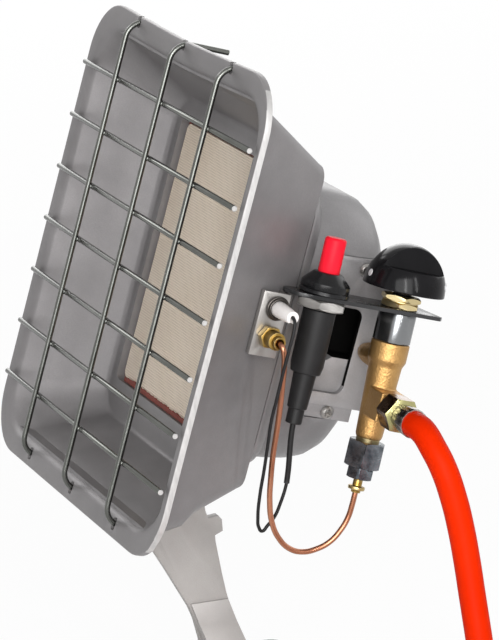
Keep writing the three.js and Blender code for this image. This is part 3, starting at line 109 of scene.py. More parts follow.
def grain(tree, place, scale, detail=4.0, rough=0.55, stretch=None):
    if stretch:
        mapping = tree.nodes.new("ShaderNodeMapping")
        mapping.inputs["Scale"].default_value = stretch
        tree.links.new(place, mapping.inputs["Vector"])
        place = mapping.outputs["Vector"]
    made = tree.nodes.new("ShaderNodeTexNoise")
    made.inputs["Scale"].default_value = scale
    made.inputs["Detail"].default_value = detail
    made.inputs["Roughness"].default_value = rough
    tree.links.new(place, made.inputs["Vector"])
    return made.outputs[0]


def ranged(tree, value, low, high, to_low, to_high):
    made = tree.nodes.new("ShaderNodeMapRange")
    for socket, number in zip(("From Min", "From Max", "To Min", "To Max"),
                              (low, high, to_low, to_high)):
        made.inputs[socket].default_value = number
    tree.links.new(value, made.inputs["Value"])
    return made.outputs["Result"]


def blended(tree, share, first, second):
    made = tree.nodes.new("ShaderNodeMix")
    made.data_type = "RGBA"
    for slot, value in ((0, share), (6, first), (7, second)):
        if isinstance(value, tuple):
            made.inputs[slot].default_value = (*value, 1)
        else:
            tree.links.new(value, made.inputs[slot])
    return made.outputs[2]


def bumped(tree, height, strength, distance, under=None):
    made = tree.nodes.new("ShaderNodeBump")
    made.inputs["Strength"].default_value = strength
    made.inputs["Distance"].default_value = distance
    tree.links.new(height, made.inputs["Height"])
    if under:
        tree.links.new(under, made.inputs["Normal"])
    return made.outputs["Normal"]


def joined(tree, operation, first, second=None, vector=True):
    """A Vector Math or a Math node on sockets, tuples or numbers."""
    made = tree.nodes.new("ShaderNodeVectorMath" if vector else "ShaderNodeMath")
    made.operation = operation
    for slot, value in enumerate((first, second)):
        if isinstance(value, (tuple, float, int)):
            made.inputs[slot].default_value = value
        elif value is not None:
            tree.links.new(value, made.inputs[slot])
    return made.outputs["Value" if operation == "LENGTH" or not vector else "Vector"]


def finish(name, dark, light, metal, gloss, patch, fine, depth, worn, worn_share,
           stretch=None, coat=0.0, specular=0.5):
    """Patchy colour between two shades, uneven gloss, fine bump and lighter worn edges."""
    material, tree, surface, place = shader(name)
    patches = grain(tree, place, patch, 5, 0.6, stretch)
    speckle = grain(tree, place, fine, 3, 0.6, stretch)
    shade = blended(tree, ranged(tree, patches, 0.3, 0.7, 0, 1), dark, light)
    shade = blended(tree, ranged(tree, speckle, 0.3, 0.7, 0, 0.45), shade, dark)
    pointed = tree.nodes.new("ShaderNodeNewGeometry").outputs["Pointiness"]
    rubbed = ranged(tree, pointed, 0.53, 0.6, 0, worn_share)
    tree.links.new(blended(tree, rubbed, shade, worn), surface.inputs["Base Color"])
    surface.inputs["Metallic"].default_value = metal
    surface.inputs["Coat Weight"].default_value = coat
    surface.inputs["Coat Roughness"].default_value = 0.15
    surface.inputs["Specular IOR Level"].default_value = specular
    tree.links.new(ranged(tree, patches, 0.25, 0.75, *gloss), surface.inputs["Roughness"])
    tree.links.new(bumped(tree, speckle, 0.35, depth), surface.inputs["Normal"])
    return material


cast_aluminium = finish(
    "cast aluminium", dark=(0.175, 0.167, 0.169), light=(0.24, 0.23, 0.232), metal=0.45,
    gloss=(0.36, 0.48), patch=25, fine=1300, depth=0.0002, worn=(0.36, 0.35, 0.35),
    worn_share=0.4, specular=0.25)
# Ground bare metal, given only to faces turned toward +x where the key light falls: partly the
# metal's own colour, partly a painted highlight.
ground_metal_highlight = finish(
    "ground metal with painted highlight", dark=(0.36, 0.352, 0.348), light=(0.52, 0.51, 0.5), metal=0.45,
    gloss=(0.4, 0.54), patch=420, fine=1700, depth=0.00025, worn=(0.62, 0.61, 0.6),
    worn_share=0.4, stretch=(1, 1, 0.25))
burner_aluminium = finish(
    "burner casting", dark=(0.15, 0.145, 0.147), light=(0.22, 0.213, 0.216), metal=0.4,
    gloss=(0.3, 0.42), patch=25, fine=1100, depth=0.0003, worn=(0.36, 0.35, 0.35),
    worn_share=0.4, specular=0.3)
intake_aluminium = finish(
    "intake casting", dark=(0.23, 0.222, 0.224), light=(0.31, 0.3, 0.303), metal=0.3,
    gloss=(0.36, 0.48), patch=25, fine=1100, depth=0.0003, worn=(0.44, 0.43, 0.43),
    worn_share=0.4, specular=0.3)
stand_aluminium = finish(
    "stand aluminium", dark=(0.28, 0.265, 0.255), light=(0.36, 0.345, 0.33), metal=0.3,
    gloss=(0.5, 0.64), patch=25, fine=1300, depth=0.00025, worn=(0.6, 0.58, 0.57),
    worn_share=0.4)
zinc_steel = finish(
    "zinc plate", dark=(0.25, 0.237, 0.225), light=(0.33, 0.315, 0.3), metal=0.75,
    gloss=(0.26, 0.38), patch=60, fine=2400, depth=0.00005, worn=(0.5, 0.49, 0.47),
    worn_share=0.4)
guard_zinc = finish(
    "guard zinc", dark=(0.1, 0.103, 0.095), light=(0.16, 0.163, 0.152), metal=1.0,
    gloss=(0.2, 0.28), patch=60, fine=1800, depth=0.00002, worn=(0.2, 0.205, 0.19),
    worn_share=0.2)
grey_steel = finish(
    "grey steel", dark=(0.035, 0.043, 0.055), light=(0.24, 0.265, 0.29), metal=1.0,
    gloss=(0.18, 0.28), patch=210, fine=2000, depth=0.00004, worn=(0.5, 0.52, 0.54),
    worn_share=0.06)
sleeve_steel = finish(
    "sleeve steel", dark=(0.17, 0.175, 0.18), light=(0.27, 0.275, 0.28), metal=1.0,
    gloss=(0.2, 0.28), patch=60, fine=2000, depth=0.00004, worn=(0.5, 0.51, 0.52),
    worn_share=0.4, stretch=(1, 1, 0.2))
spring_steel = finish(
    "dark spring steel", dark=(0.03, 0.026, 0.024), light=(0.07, 0.062, 0.056), metal=1.0,
    gloss=(0.25, 0.36), patch=90, fine=2000, depth=0.00004, worn=(0.3, 0.28, 0.26),
    worn_share=0.5)
brass = finish(
    "brass", dark=(0.52, 0.33, 0.11), light=(0.64, 0.43, 0.16), metal=1.0,
    gloss=(0.2, 0.3), patch=60, fine=2100, depth=0.00005, worn=(0.9, 0.74, 0.42),
    worn_share=0.5)
pale_brass = finish(
    "pale brass", dark=(0.26, 0.155, 0.034), light=(0.4, 0.27, 0.075), metal=1.0,
    gloss=(0.28, 0.38), patch=60, fine=2100, depth=0.00005, worn=(0.9, 0.8, 0.5),
    worn_share=0.5)
cast_brass = finish(
    "stamped brass", dark=(0.33, 0.185, 0.062), light=(0.48, 0.29, 0.11), metal=0.85,
    gloss=(0.34, 0.46), patch=45, fine=850, depth=0.0011, worn=(0.66, 0.46, 0.22),
    worn_share=0.35)
yellow_zinc = finish(
    "yellow zinc", dark=(0.26, 0.23, 0.09), light=(0.4, 0.37, 0.17), metal=1.0,
    gloss=(0.2, 0.3), patch=60, fine=2400, depth=0.00004, worn=(0.6, 0.58, 0.3),
    worn_share=0.3)
# Dark red-brown over yellow zinc: a painted reflection of the orange hose and the dark
# surroundings, given to the union nut's flats.
hose_reflection_zinc = finish(
    "yellow zinc with painted reflection", dark=(0.045, 0.018, 0.01), light=(0.17, 0.09, 0.055), metal=1.0,
    gloss=(0.2, 0.3), patch=110, fine=2400, depth=0.00004, worn=(0.5, 0.44, 0.24),
    worn_share=0.06)
crimped_zinc = finish(
    "crimped zinc", dark=(0.1, 0.085, 0.08), light=(0.24, 0.215, 0.205), metal=1.0,
    gloss=(0.2, 0.3), patch=60, fine=2400, depth=0.00004, worn=(0.85, 0.83, 0.8),
    worn_share=0.7)
copper = finish(
    "drawn copper", dark=(0.36, 0.15, 0.085), light=(0.5, 0.23, 0.14), metal=1.0,
    gloss=(0.26, 0.36), patch=60, fine=1900, depth=0.00004, worn=(0.7, 0.42, 0.3),
    worn_share=0.2)
glazed_ceramic = finish(
    "glazed insulator", dark=(0.7, 0.67, 0.65), light=(0.8, 0.77, 0.75), metal=0.0,
    gloss=(0.3, 0.42), patch=150, fine=1600, depth=0.00006, worn=(0.88, 0.86, 0.84),
    worn_share=0.3, coat=0.2)
gloss_black = finish(
    "gloss black", dark=(0.004, 0.004, 0.0045), light=(0.008, 0.008, 0.0085), metal=0.0,
    gloss=(0.16, 0.24), patch=60, fine=1500, depth=0.00004, worn=(0.03, 0.03, 0.032),
    worn_share=0.4, specular=0.22)
knob_black = finish(
    "knob black", dark=(0.004, 0.0038, 0.0044), light=(0.008, 0.0075, 0.0085), metal=0.0,
    gloss=(0.14, 0.18), patch=50, fine=1700, depth=0.00002, worn=(0.035, 0.035, 0.038),
    worn_share=0.4, specular=0.13)
matt_black = finish(
    "matt black", dark=(0.007, 0.0068, 0.007), light=(0.013, 0.0126, 0.013), metal=0.0,
    gloss=(0.42, 0.55), patch=80, fine=1500, depth=0.0002, worn=(0.05, 0.05, 0.052),
    worn_share=0.4, specular=0.2)
black_steel = finish(
    "black coated steel", dark=(0.005, 0.005, 0.0055), light=(0.011, 0.011, 0.0115), metal=0.0,
    gloss=(0.2, 0.3), patch=50, fine=1300, depth=0.00008, worn=(0.06, 0.06, 0.062),
    worn_share=0.4, specular=0.3)
button_red = finish(
    "button red", dark=(0.7, 0.004, 0.017), light=(0.8, 0.007, 0.024), metal=0.0,
    gloss=(0.34, 0.45), patch=60, fine=1500, depth=0.00006, worn=(0.9, 0.06, 0.09),
    worn_share=0.4, specular=0.1)
orange_rubber = finish(
    "orange hose rubber", dark=(0.56, 0.016, 0.0003), light=(0.68, 0.023, 0.0005), metal=0.0,
    gloss=(0.34, 0.44), patch=20, fine=900, depth=0.00004, worn=(0.8, 0.04, 0.005),
    worn_share=0.1, specular=0.03)
mark_white = finish(
    "knob mark", dark=(0.42, 0.42, 0.43), light=(0.55, 0.55, 0.56), metal=0.0,
    gloss=(0.35, 0.5), patch=200, fine=1500, depth=0.00005, worn=(0.7, 0.7, 0.7),
    worn_share=0.3)
# Near-black painted shade for the upper hollow of the intake, where shade falls inside its
# window.
hollow_shade = finish(
    "painted shade inside", dark=(0.002, 0.002, 0.002), light=(0.006, 0.0055, 0.005), metal=0.0,
    gloss=(0.7, 0.9), patch=60, fine=900, depth=0.0002, worn=(0.02, 0.02, 0.02),
    worn_share=0.3, specular=0.05)
gasket_felt = finish(
    "gasket felt", dark=(0.03, 0.004, 0.003), light=(0.2, 0.03, 0.022), metal=0.0,
    gloss=(0.8, 0.95), patch=400, fine=1500, depth=0.0008, worn=(0.3, 0.09, 0.07),
    worn_share=0.5)


def honeycomb(pitch, bore):
    """Tile ceramic with round holes in offset rows, drawn as a bump with painted shade in each
    hole, laid in the head's own frame.
    """
    material, tree, surface, place = shader("honeycomb tile")
    mapping = tree.nodes.new("ShaderNodeMapping")
    mapping.inputs["Scale"].default_value = (1000, 1000, 1000)
    mapping.inputs["Rotation"].default_value = (math.radians(lean), 0, 0)
    upright = Matrix.Rotation(math.radians(lean), 3, "X")
    mapping.inputs["Location"].default_value = upright @ middle * -1000
    tree.links.new(place, mapping.inputs["Vector"])
    cell = (pitch, 0, pitch * math.sqrt(3))
    rows = joined(tree, "MULTIPLY", mapping.outputs["Vector"], (1 / cell[0], 0, 1 / cell[2]))
    spans = []
    for shift in ((0.0, 0.0, 0.0), (0.5, 0.0, 0.5)):
        inside = joined(tree, "FRACTION", joined(tree, "ADD", rows, shift))
        centred = joined(tree, "SUBTRACT", inside, (0.5, 0.5, 0.5))
        spans.append(joined(tree, "LENGTH", joined(tree, "MULTIPLY", centred, cell)))
    nearest = joined(tree, "MINIMUM", spans[0], spans[1], False)
    hole = ranged(tree, nearest, bore * 0.42, bore * 0.58, 1, 0)
    patches = ranged(tree, grain(tree, place, 18, 5), 0.3, 0.7, 0, 1)
    clay = blended(tree, patches, (0.84, 0.71, 0.57), (0.93, 0.81, 0.68))
    crumbs = grain(tree, place, 900)
    clay = blended(tree, ranged(tree, crumbs, 0.45, 0.75, 0, 0.5), clay, (0.92, 0.82, 0.7))
    # Painted shade: each hole is darkened in the colour, standing in for the shade down its
    # bore.
    hole_shade = ranged(tree, hole, 0, 1, 0, 0.34)
    tree.links.new(blended(tree, hole_shade, clay, (0.2, 0.12, 0.075)), surface.inputs["Base Color"])
    tree.links.new(ranged(tree, crumbs, 0.3, 0.7, 0.8, 0.95), surface.inputs["Roughness"])
    surface.inputs["Specular IOR Level"].default_value = 0.25
    rough = bumped(tree, crumbs, 0.4, 0.0002)
    tree.links.new(bumped(tree, ranged(tree, hole, 0, 1, 1, 0), 0.9, 0.0005, rough),
                   surface.inputs["Normal"])
    return material


tile_ceramic = honeycomb(pitch=1.6, bore=0.85)

# Bmesh shapes, in millimetres


def turned(pairs, steps=64):
    """An outline of radius and height, spun round Z."""
    bm = bmesh.new()
    corners = [bm.verts.new((radius, 0, height)) for radius, height in pairs]
    for pair in zip(corners, corners[1:]):
        bm.edges.new(pair)
    bmesh.ops.spin(bm, geom=bm.verts[:] + bm.edges[:], cent=(0, 0, 0), axis=(0, 0, 1),
                   angle=math.tau, steps=steps, use_merge=True)
    bmesh.ops.remove_doubles(bm, verts=bm.verts, dist=0.0005)
    bmesh.ops.recalc_face_normals(bm, faces=bm.faces)
    return bm


def block(x, y, z, place=None):
    bm = bmesh.new()
    bmesh.ops.create_cube(bm, size=1, matrix=(place or on()) @ Matrix.Diagonal((x, y, z, 1)))
    return bm


def softened(bm, width, segments=2, over=28):
    """Rounds every edge whose faces meet at more than an angle in degrees."""
    hard = [e for e in bm.edges if len(e.link_faces) == 2
            and e.calc_face_angle(0) > math.radians(over)]
    bmesh.ops.bevel(bm, geom=hard, offset=width, offset_type="OFFSET", affect="EDGES",
                    segments=segments, profile=0.5, material=-1, clamp_overlap=True)
    return bm


def as_object(bm, name="scratch"):
    """An object with the bmesh's shape; the bmesh is used up."""
    mesh = bpy.data.meshes.new(name)
    bm.to_mesh(mesh)
    bm.free()
    made = bpy.data.objects.new(name, mesh)
    bpy.context.collection.objects.link(made)
    return made


def settled(item):
    """The mesh of an object with its modifiers or curve bevel applied, and the object gone."""
    shown = item.evaluated_get(bpy.context.evaluated_depsgraph_get())
    mesh = bpy.data.meshes.new_from_object(shown)
    bpy.data.objects.remove(item)
    bm = bmesh.new()
    bm.from_mesh(mesh)
    bpy.data.meshes.remove(mesh)
    return bm


def carved(bm, *tools, way="DIFFERENCE"):
    for tool in tools:
        body, cutter = as_object(bm), as_object(tool)
        boolean = body.modifiers.new("carve", "BOOLEAN")
        boolean.operation = way
        boolean.solver = "EXACT"
        boolean.object = cutter
        bm = settled(body)
        bpy.data.objects.remove(cutter)
    return bm


def hex_nut(across, length, foot=0):
    """A hexagon with its corners turned off at both ends."""
    chamfer = math.radians(30)
    corner, face, beyond = across / math.sqrt(3), across * 0.485, 1
    drop = (corner - face) * math.tan(chamfer)
    end = face - beyond / math.tan(chamfer)
    wide = corner + 0.1
    cone = turned([(0, foot - beyond), (end, foot - beyond), (wide, foot + drop),
                   (wide, foot + length - drop), (end, foot + length + beyond),
                   (0, foot + length + beyond)], 72)
    bar = bmesh.new()
    bmesh.ops.create_cone(bar, cap_ends=True, segments=6, radius1=corner, radius2=corner,
                          depth=length, matrix=on(z=foot + length / 2))
    return softened(carved(bar, cone, way="INTERSECT"), 0.12, 1, 40)


def bored_nut(across, length, foot, bore):
    overrun = 1
    rod = turned([(0, foot - overrun), (bore, foot - overrun),
                  (bore, foot + length + overrun), (0, foot + length + overrun)], 48)
    return carved(hex_nut(across, length, foot), rod)


def outline(bm, width, height, corner, y, rise, cuts):
    """A rounded rectangle of edges standing in the plane of one Y."""
    corner_steps = 12
    standing = on(0, y, rise) @ turn(90, "X") @ Matrix.Diagonal((width, height, 1, 1))
    before = set(bm.faces)
    square = bmesh.ops.create_grid(bm, x_segments=1, y_segments=1, size=0.5, matrix=standing)
    bmesh.ops.bevel(bm, geom=square["verts"], offset=corner, offset_type="OFFSET",
                    affect="VERTICES", segments=corner_steps, profile=0.5, material=-1)
    face = next(f for f in bm.faces if f not in before)
    straight = [e for e in face.edges if e.calc_length() > corner * math.pi / corner_steps]
    bmesh.ops.subdivide_edges(bm, edges=straight, cuts=cuts)
    face = next(f for f in bm.faces if f not in before)
    edges = list(face.edges)
    bmesh.ops.delete(bm, geom=[face], context="FACES_ONLY")
    return edges


def skinned(rings, closed=False, cuts=5):
    """Bridges rounded rectangles of width, height, corner, y and rise, one after the other."""
    bm = bmesh.new()
    loops = [outline(bm, *ring, cuts) for ring in rings]
    follow = loops[1:] + (loops[:1] if closed else [])
    for here, there in zip(loops, follow):
        bmesh.ops.bridge_loops(bm, edges=here + there)
    if not closed:
        bmesh.ops.holes_fill(bm, edges=loops[0] + loops[-1], sides=0)
    bmesh.ops.recalc_face_normals(bm, faces=bm.faces)
    return bm


def wire_curve(name, points, radius, sides, smooth=True, ends=1.0, fineness=6):
    """A round wire through points, as a curve object; ends below 1 thin its two end points."""
    curve = bpy.data.curves.new(name, "CURVE")
    curve.dimensions = "3D"
    curve.bevel_depth = radius
    curve.bevel_resolution = sides // 2 - 2
    curve.use_fill_caps = True
    curve.resolution_u = fineness
    spline = curve.splines.new("BEZIER" if smooth else "POLY")
    spots = spline.bezier_points if smooth else spline.points
    spots.add(len(points) - 1)
    for spot, point in zip(spots, points):
        spot.co = point if smooth else (*point, 1)
        if smooth:
            spot.handle_left_type = spot.handle_right_type = "AUTO"
    spots[0].radius = spots[-1].radius = ends
    made = bpy.data.objects.new(name, curve)
    bpy.context.collection.objects.link(made)
    return made


def tube(points, radius, sides=16, smooth=True, ends=1.0):
    bm = settled(wire_curve("wire", points, radius, sides, smooth, ends))
    bmesh.ops.remove_doubles(bm, verts=bm.verts, dist=0.0005)
    return bm


def cord(name, places, diameter, material, sides):
    """A free cord as one smooth open spline through places in metres."""
    made = wire_curve(name, places, diameter / 2, sides, fineness=8)
    made.data.materials.append(material)
    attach(made, "heater")
    return made


def gathered(parts):
    """One bmesh from pairs of a bmesh and its place."""
    whole = bmesh.new()
    for part, place in parts:
        bmesh.ops.transform(part, matrix=place, verts=part.verts)
        mesh = bpy.data.meshes.new("part")
        part.to_mesh(mesh)
        part.free()
        whole.from_mesh(mesh)
        bpy.data.meshes.remove(mesh)
    return whole


def piece(name, body, material, parts, replaces=(), crease=38):
    """One object from (bmesh, place) pairs; edges sharper than crease degrees stay sharp."""
    whole = gathered(parts)
    for face in whole.faces:
        face.smooth = True
        face.material_index = 0
    for edge in whole.edges:
        edge.smooth = len(edge.link_faces) != 2 or edge.calc_face_angle(0) < math.radians(crease)
    made = as_object(whole, name)
    made.data.materials.clear()
    made.data.materials.append(material)
    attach(made, body)
    if replaces:
        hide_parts(*replaces)
    return made


def dressed(node, body, material, width=0.25):
    """A CAD node's own shape with its loose triangles joined and its edges rounded."""
    bm = bmesh.new()
    bm.from_mesh(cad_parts[node].data)
    bmesh.ops.remove_doubles(bm, verts=bm.verts, dist=2e-6)
    bmesh.ops.dissolve_limit(bm, angle_limit=math.radians(1), verts=bm.verts, edges=bm.edges)
    softened(bm, width / 1000, over=30)
    return piece(node + "_made", body, material, [(bm, on())], [node])


def second_finish(item, material, chosen):
    """Gives another finish to the faces that chosen picks by middle in the head and normal."""
    item.data.materials.append(material)
    for face in item.data.polygons:
        if chosen(into_head @ face.center, face.normal):
            face.material_index = 1


# Hose, wound up and put away beside the heater

hose_diameter = 14
coil_pitch = 14.8
coil_turns = 2.75
coil_radius = 81.7
coil_steps = 24
crossing_from, crossing_for = 1.125, 0.5
union_foot = 18.2
union_length = 12.1
ferrule_reach = 9.4
coil_start = Vector((272, 123, hose_diameter / 2 + fit_gap + coil_pitch - guard_height))
hose_foot = union_foot + fit_gap + union_length + fit_gap + ferrule_reach + fit_gap
ferrule_mouth = into_whole @ (UNION @ Vector((0, 0, hose_foot)))
union_aim = (into_whole.to_3x3() @ (UNION.to_3x3() @ Vector((0, 0, 1)))).normalized()
hose_route = [ferrule_mouth, ferrule_mouth + union_aim * 4.2]
hose_route += [Vector(p) for p in (
    (152.8, 106.6, -60.2), (160.6, 108.2, -66.4), (167.4, 110.8, -75.6), (172.2, 114.4, -90.4),
    (175.9, 117, -105.8), (179.6, 118.7, -121.7), (184, 120, -140), (188.7, 121.2, -158.3),
    (193.4, 122.2, -176), (198.8, 122.8, -191), (206.6, 123, -206), (217.4, 123, -220),
    (230.8, 123, -231.4), (246, 123, -239))]
hose_route += [coil_start - Vector((hose_diameter, 0, 0)), coil_start]
for step in range(round(coil_turns * coil_steps) + 1):
    wound = step / coil_steps
    radius = coil_radius - coil_pitch * min(wound, coil_turns - wound)
    share = min(max((wound - crossing_from) / crossing_for, 0), 1)
    drop = coil_pitch * share * share * (3 - 2 * share)
    hose_route.append(coil_start + Vector((
        hose_diameter + radius * math.sin(wound * math.tau),
        radius * math.cos(wound * math.tau) - coil_radius, -drop)))
hose_route.append(hose_route[-1] + Vector((0, hose_diameter, 0)))
hose = cord("gas_hose", [WHOLE @ p for p in hose_route], hose_diameter / 1000, orange_rubber,
            24)
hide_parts("hose", "hose_coil")
end_ferrule = dressed("hose_end_ferrule", "heater", zinc_steel)
end_nut = dressed("hose_end_nut", "heater", brass, 0.4)

# Spark lead, from the insulator's bore down and up into the igniter's foot

lead_diameter = 1.8
boot_radius = 1.5
insulator_seat = Vector((98, 48.2, 11))
insulator_out = 19.5
insulator_bore_depth = 4.4
igniter_foot_drop = 66.4
lead_start = insulator_seat + Vector((insulator_out - insulator_bore_depth, 0, 0))
boot_end = Vector((101, 77.9, -78.6))
lead_route = [lead_start] + [Vector(p) for p in (
    (118.1, 48.2, 11), (120.2, 48.4, 9.6), (121.4, 48.6, 5), (121, 48.9, -4.4),
    (119.4, 49.8, -16), (117, 51.4, -31), (114, 53.2, -44), (110.5, 56.9, -60),
    (107, 60.2, -73), (104, 63, -85.9), (100.5, 67.1, -98.9), (98.8, 70.1, -104.6),
    (98.5, 72.5, -106.3), (98.6, 74.8, -102.9), (99.4, 77, -97.4), (100.4, 77.7, -90.1))]
boot_route = [boot_end + Vector((0, 0, fit_gap)), Vector((101, 76.8, -70.8)),
              Vector((101, 74.9, -61.3)), Vector((100.95, 73.4, -53))]
boot_route += [into_head @ (IGNITER @ Vector((0, 0, -igniter_foot_drop + inside)))
               for inside in (0, 3)]
spark_lead = cord("spark_lead", [HEAD @ p for p in lead_route + [boot_end] + boot_route[1:]],
                  lead_diameter / 1000, matt_black, 14)
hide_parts("ignition_lead")
lead_boot = piece("lead_boot_made", "heater", matt_black,
                  [(tube(boot_route, boot_radius, 20), HEAD)], ["lead_boot"])

# Reflector

lip_width, lip_height, lip_corner = 238, 257, 30
lip_front, lip_back, mouth_depth = 5.4, 8.8, 6.3
floor_depth, wall_back, frame_back = 50.4, 63.2, 66.2
lip_rise, frame_rise = -1.5, -3.7
funnel_width, funnel_height, wall_corner = 221, 227.8, 8
width_lost, height_lost = 60, 50.8
frame_hole = (149, 150.6, 4)
floor_edge = (164.6, 182.6, 17)
mouth_edge = (funnel_width, 233.6, 25.75)
upright_pitch = 62.5


def wall_ring(y, bulge=0.0):
    """The funnel's outer wall at a depth behind the guard, let out downwards by a bulge."""
    share = (y - lip_back) / (wall_back - lip_back)
    width = funnel_width - share * width_lost
    height = funnel_height - share * height_lost
    rise = lip_rise + share * (frame_rise - lip_rise)
    return (width, height + bulge, wall_corner, y, rise - bulge / 2)


def rounded_ring(bm, y, reach, width, segments):
    """Rounds the ring of edges that lies at one depth, reaching at least so far out."""
    ring = [e for e in bm.edges if all(abs(v.co.y - y) < 0.01 for v in e.verts)
            and max(max(abs(v.co.x), abs(v.co.z)) for v in e.verts) > reach
            and not any(abs(f.normal.y) > 0.999 and len(f.verts) > 4 for f in e.link_faces)
            and e.calc_face_angle(0) > math.radians(20)]
    bmesh.ops.bevel(bm, geom=ring, offset=width, offset_type="OFFSET", affect="EDGES",
                    segments=segments, profile=0.5, material=-1, clamp_overlap=True)


reflector_shell = skinned([
    (lip_width, lip_height, lip_corner, lip_front, lip_rise),
    (lip_width, lip_height, lip_corner, lip_back, lip_rise),
    wall_ring(lip_back), wall_ring(27, 3.7), wall_ring(33), wall_ring(wall_back),
    (159.5, 175.5, wall_corner, 65, frame_rise), (155, 171, wall_corner, frame_back, frame_rise),
    (*frame_hole, frame_back, 0), (*frame_hole, floor_depth, 0),
    (*floor_edge, floor_depth, frame_rise), (*mouth_edge, mouth_depth, lip_rise),
], closed=True, cuts=9)
rounded_ring(reflector_shell, mouth_depth, reach=100, width=3.2, segments=5)
rounded_ring(reflector_shell, floor_depth, reach=82, width=2.2, segments=4)
rounded_ring(reflector_shell, lip_front, reach=105, width=0.8, segments=3)
top_sag, side_bow, bow_middle, bow_reach = 2.0, 1.6, -60, 130
for vert in reflector_shell.verts:
    if vert.co.y < 9.5 and vert.co.z > 110:
        vert.co.z -= top_sag * max(0, math.cos(vert.co.x / lip_width * math.pi)) ** 2
    if vert.co.y < 9.5 and vert.co.x > 112:
        along = (vert.co.z - bow_middle) / bow_reach
        vert.co.x -= side_bow * max(0, math.cos(along * math.pi / 2)) ** 2
slot_size = (4.4, 8, 6.8)
slot_depth, slot_height, slot_round = 7, 122.97, 1.6
lip_slots = [softened(block(*slot_size, on(upright_pitch * i, slot_depth, side * slot_height)),
                      slot_round, 4) for i in (-1, 0, 1) for side in (-1, 1)]
reflector = piece("reflector_cast", "heater", cast_aluminium,
                  [(carved(reflector_shell, *lip_slots), HEAD)], ["reflector"], 32)
# Painted highlight: the right lip's outer faces turned toward +x get the brighter ground finish;
# the rest of the rim keeps the casting's colour.
second_finish(reflector, ground_metal_highlight, lambda seat, normal:
              5.0 < seat.y < 8.9 and seat.x > 100 and normal.x > 0.6)

# Wire guard, with two small weld beads at every crossing

wire_radius = 1.5
bend_radius = 10
upright_reach = 113.4
short_end, long_end = 13, 32
row_pitch = 30
cross_reach, cross_depth = 113.8, 2.65
end_chamfer = 0.25
weld_beads = ((0.4, 1.4, 1.7, 1.35), (3.1, 2.1, 2.3, 1.25))
guard_parts = []
for across in (-upright_pitch, 0, upright_pitch):
    top_end = long_end if across == 0 else short_end
    bend = [(bend_radius - bend_radius * math.cos(math.radians(a)),
             upright_reach + bend_radius * math.sin(math.radians(a))) for a in range(0, 91, 9)]
    run = [(short_end, -upright_reach - bend_radius)] + [(y, -z) for y, z in reversed(bend)]
    run += bend + [(top_end, upright_reach + bend_radius)]
    guard_parts.append((tube([(across, y, z) for y, z in run], wire_radius, 16, False), HEAD))
for row in range(-3, 4):
    z = row * row_pitch
    line = [(x, cross_depth, z) for x in (-cross_reach, end_chamfer - cross_reach,
                                          cross_reach - end_chamfer, cross_reach)]
    guard_parts.append((tube(line, wire_radius, 20, False, 0.86), HEAD))
    for across in (-upright_pitch, 0, upright_pitch):
        for reach, depth, long, wide in weld_beads:
            bead = bmesh.new()
            size = Matrix.Diagonal((long, wide, wire_radius, 1))
            bmesh.ops.create_icosphere(bead, subdivisions=3, radius=1,
                                       matrix=on(across + reach, depth, z) @ size)
            guard_parts.append((bead, HEAD))
guard = piece("wire_guard", "heater", guard_zinc, guard_parts, ["guard_grille"], 50)
# The wires' right cut ends get the same bright finish: bare cut metal with a painted highlight.
second_finish(guard, ground_metal_highlight, lambda seat, normal: seat.x > 113.2 and normal.x > 0.6)

# Burner tile and its gasket, whose frayed edge shows under the tile and at its top right corner

dressed("ceramic_tile", "heater", tile_ceramic, 0.5)
felt_front, felt_back = 55.2, 64.5
felt_outside = (148.4, 150, 3)
felt_inside = (145.2, 146.8, 3)
felt_frame = skinned([(*felt_outside, felt_front, 0), (*felt_outside, felt_back, 0),
                      (*felt_inside, felt_back, 0), (*felt_inside, felt_front, 0)], closed=True)


def frayed(width, depth, height, place, teeth, wild):
    """A strip of felt whose upper front edge is torn into small teeth."""
    strip = block(width, depth, height)
    long = [e for e in strip.edges if abs(e.verts[0].co.x - e.verts[1].co.x) > width / 2]
    bmesh.ops.subdivide_edges(strip, edges=long, cuts=teeth)
    for vert in strip.verts:
        torn = noise.noise(Vector((vert.co.x * 0.9, width, depth)))
        ripped = max(0, noise.noise(Vector((vert.co.x * 0.13 + 7, 3, width))))
        vert.co.z += (torn + 1.6 * ripped) * wild * (1 if vert.co.z > 0 else 0.35)
        vert.co.y -= ripped * wild * 0.8
    return strip, place


felt_strips = [frayed(138, 2.2, 2.2, HEAD @ on(2, 53.3, -73.9), 140, 0.8),
               frayed(11, 1.6, 1.1, HEAD @ on(66.5, 52.6, 73.4) @ turn(-8, "Y"), 14, 0.9),
               frayed(8, 1.2, 0.8, HEAD @ on(69, 51.6, 70.6) @ turn(9, "Y"), 10, 0.9)]
piece("gasket_frame", "heater", gasket_felt, [(felt_frame, HEAD), *felt_strips],
      ["tile_gasket"], 20)

# Burner housing

pan_width, pan_height, pan_corner = 148, 151, 40
pan_front, pan_depth, pan_rise, pan_overlap = 73.2, 61, -6.5, 2
pan_shares = [(0, 1), (0.15, 0.997), (0.3, 0.992), (0.46, 0.978), (0.6, 0.948), (0.71, 0.896),
              (0.81, 0.81), (0.89, 0.7), (0.945, 0.57), (0.98, 0.42), (1, 0.24)]
pan = skinned([(pan_width * size, pan_height * size, pan_corner * size,
                pan_front + pan_depth * deep - (pan_overlap if deep == 0 else 0), pan_rise)
               for deep, size in pan_shares], cuts=7)
throat = skinned([(155, 159, 20, 66.5, frame_rise), (155, 159, 20, 68, -3.9),
                  (pan_width, pan_height, 20, pan_front, pan_rise)], cuts=7)
seat_size, seat_middle = (24, 41.6, 88.6), (62.2, 104.5, -4)
intake_seat = block(*seat_size, on(*seat_middle))
housing = piece("burner_casting", "heater", burner_aluminium,
                [(carved(pan, intake_seat), HEAD), (throat, HEAD)], ["burner_housing"], 40)

# Knob, a dome cut away on two sides, with a plain dot and a plain ring as marks

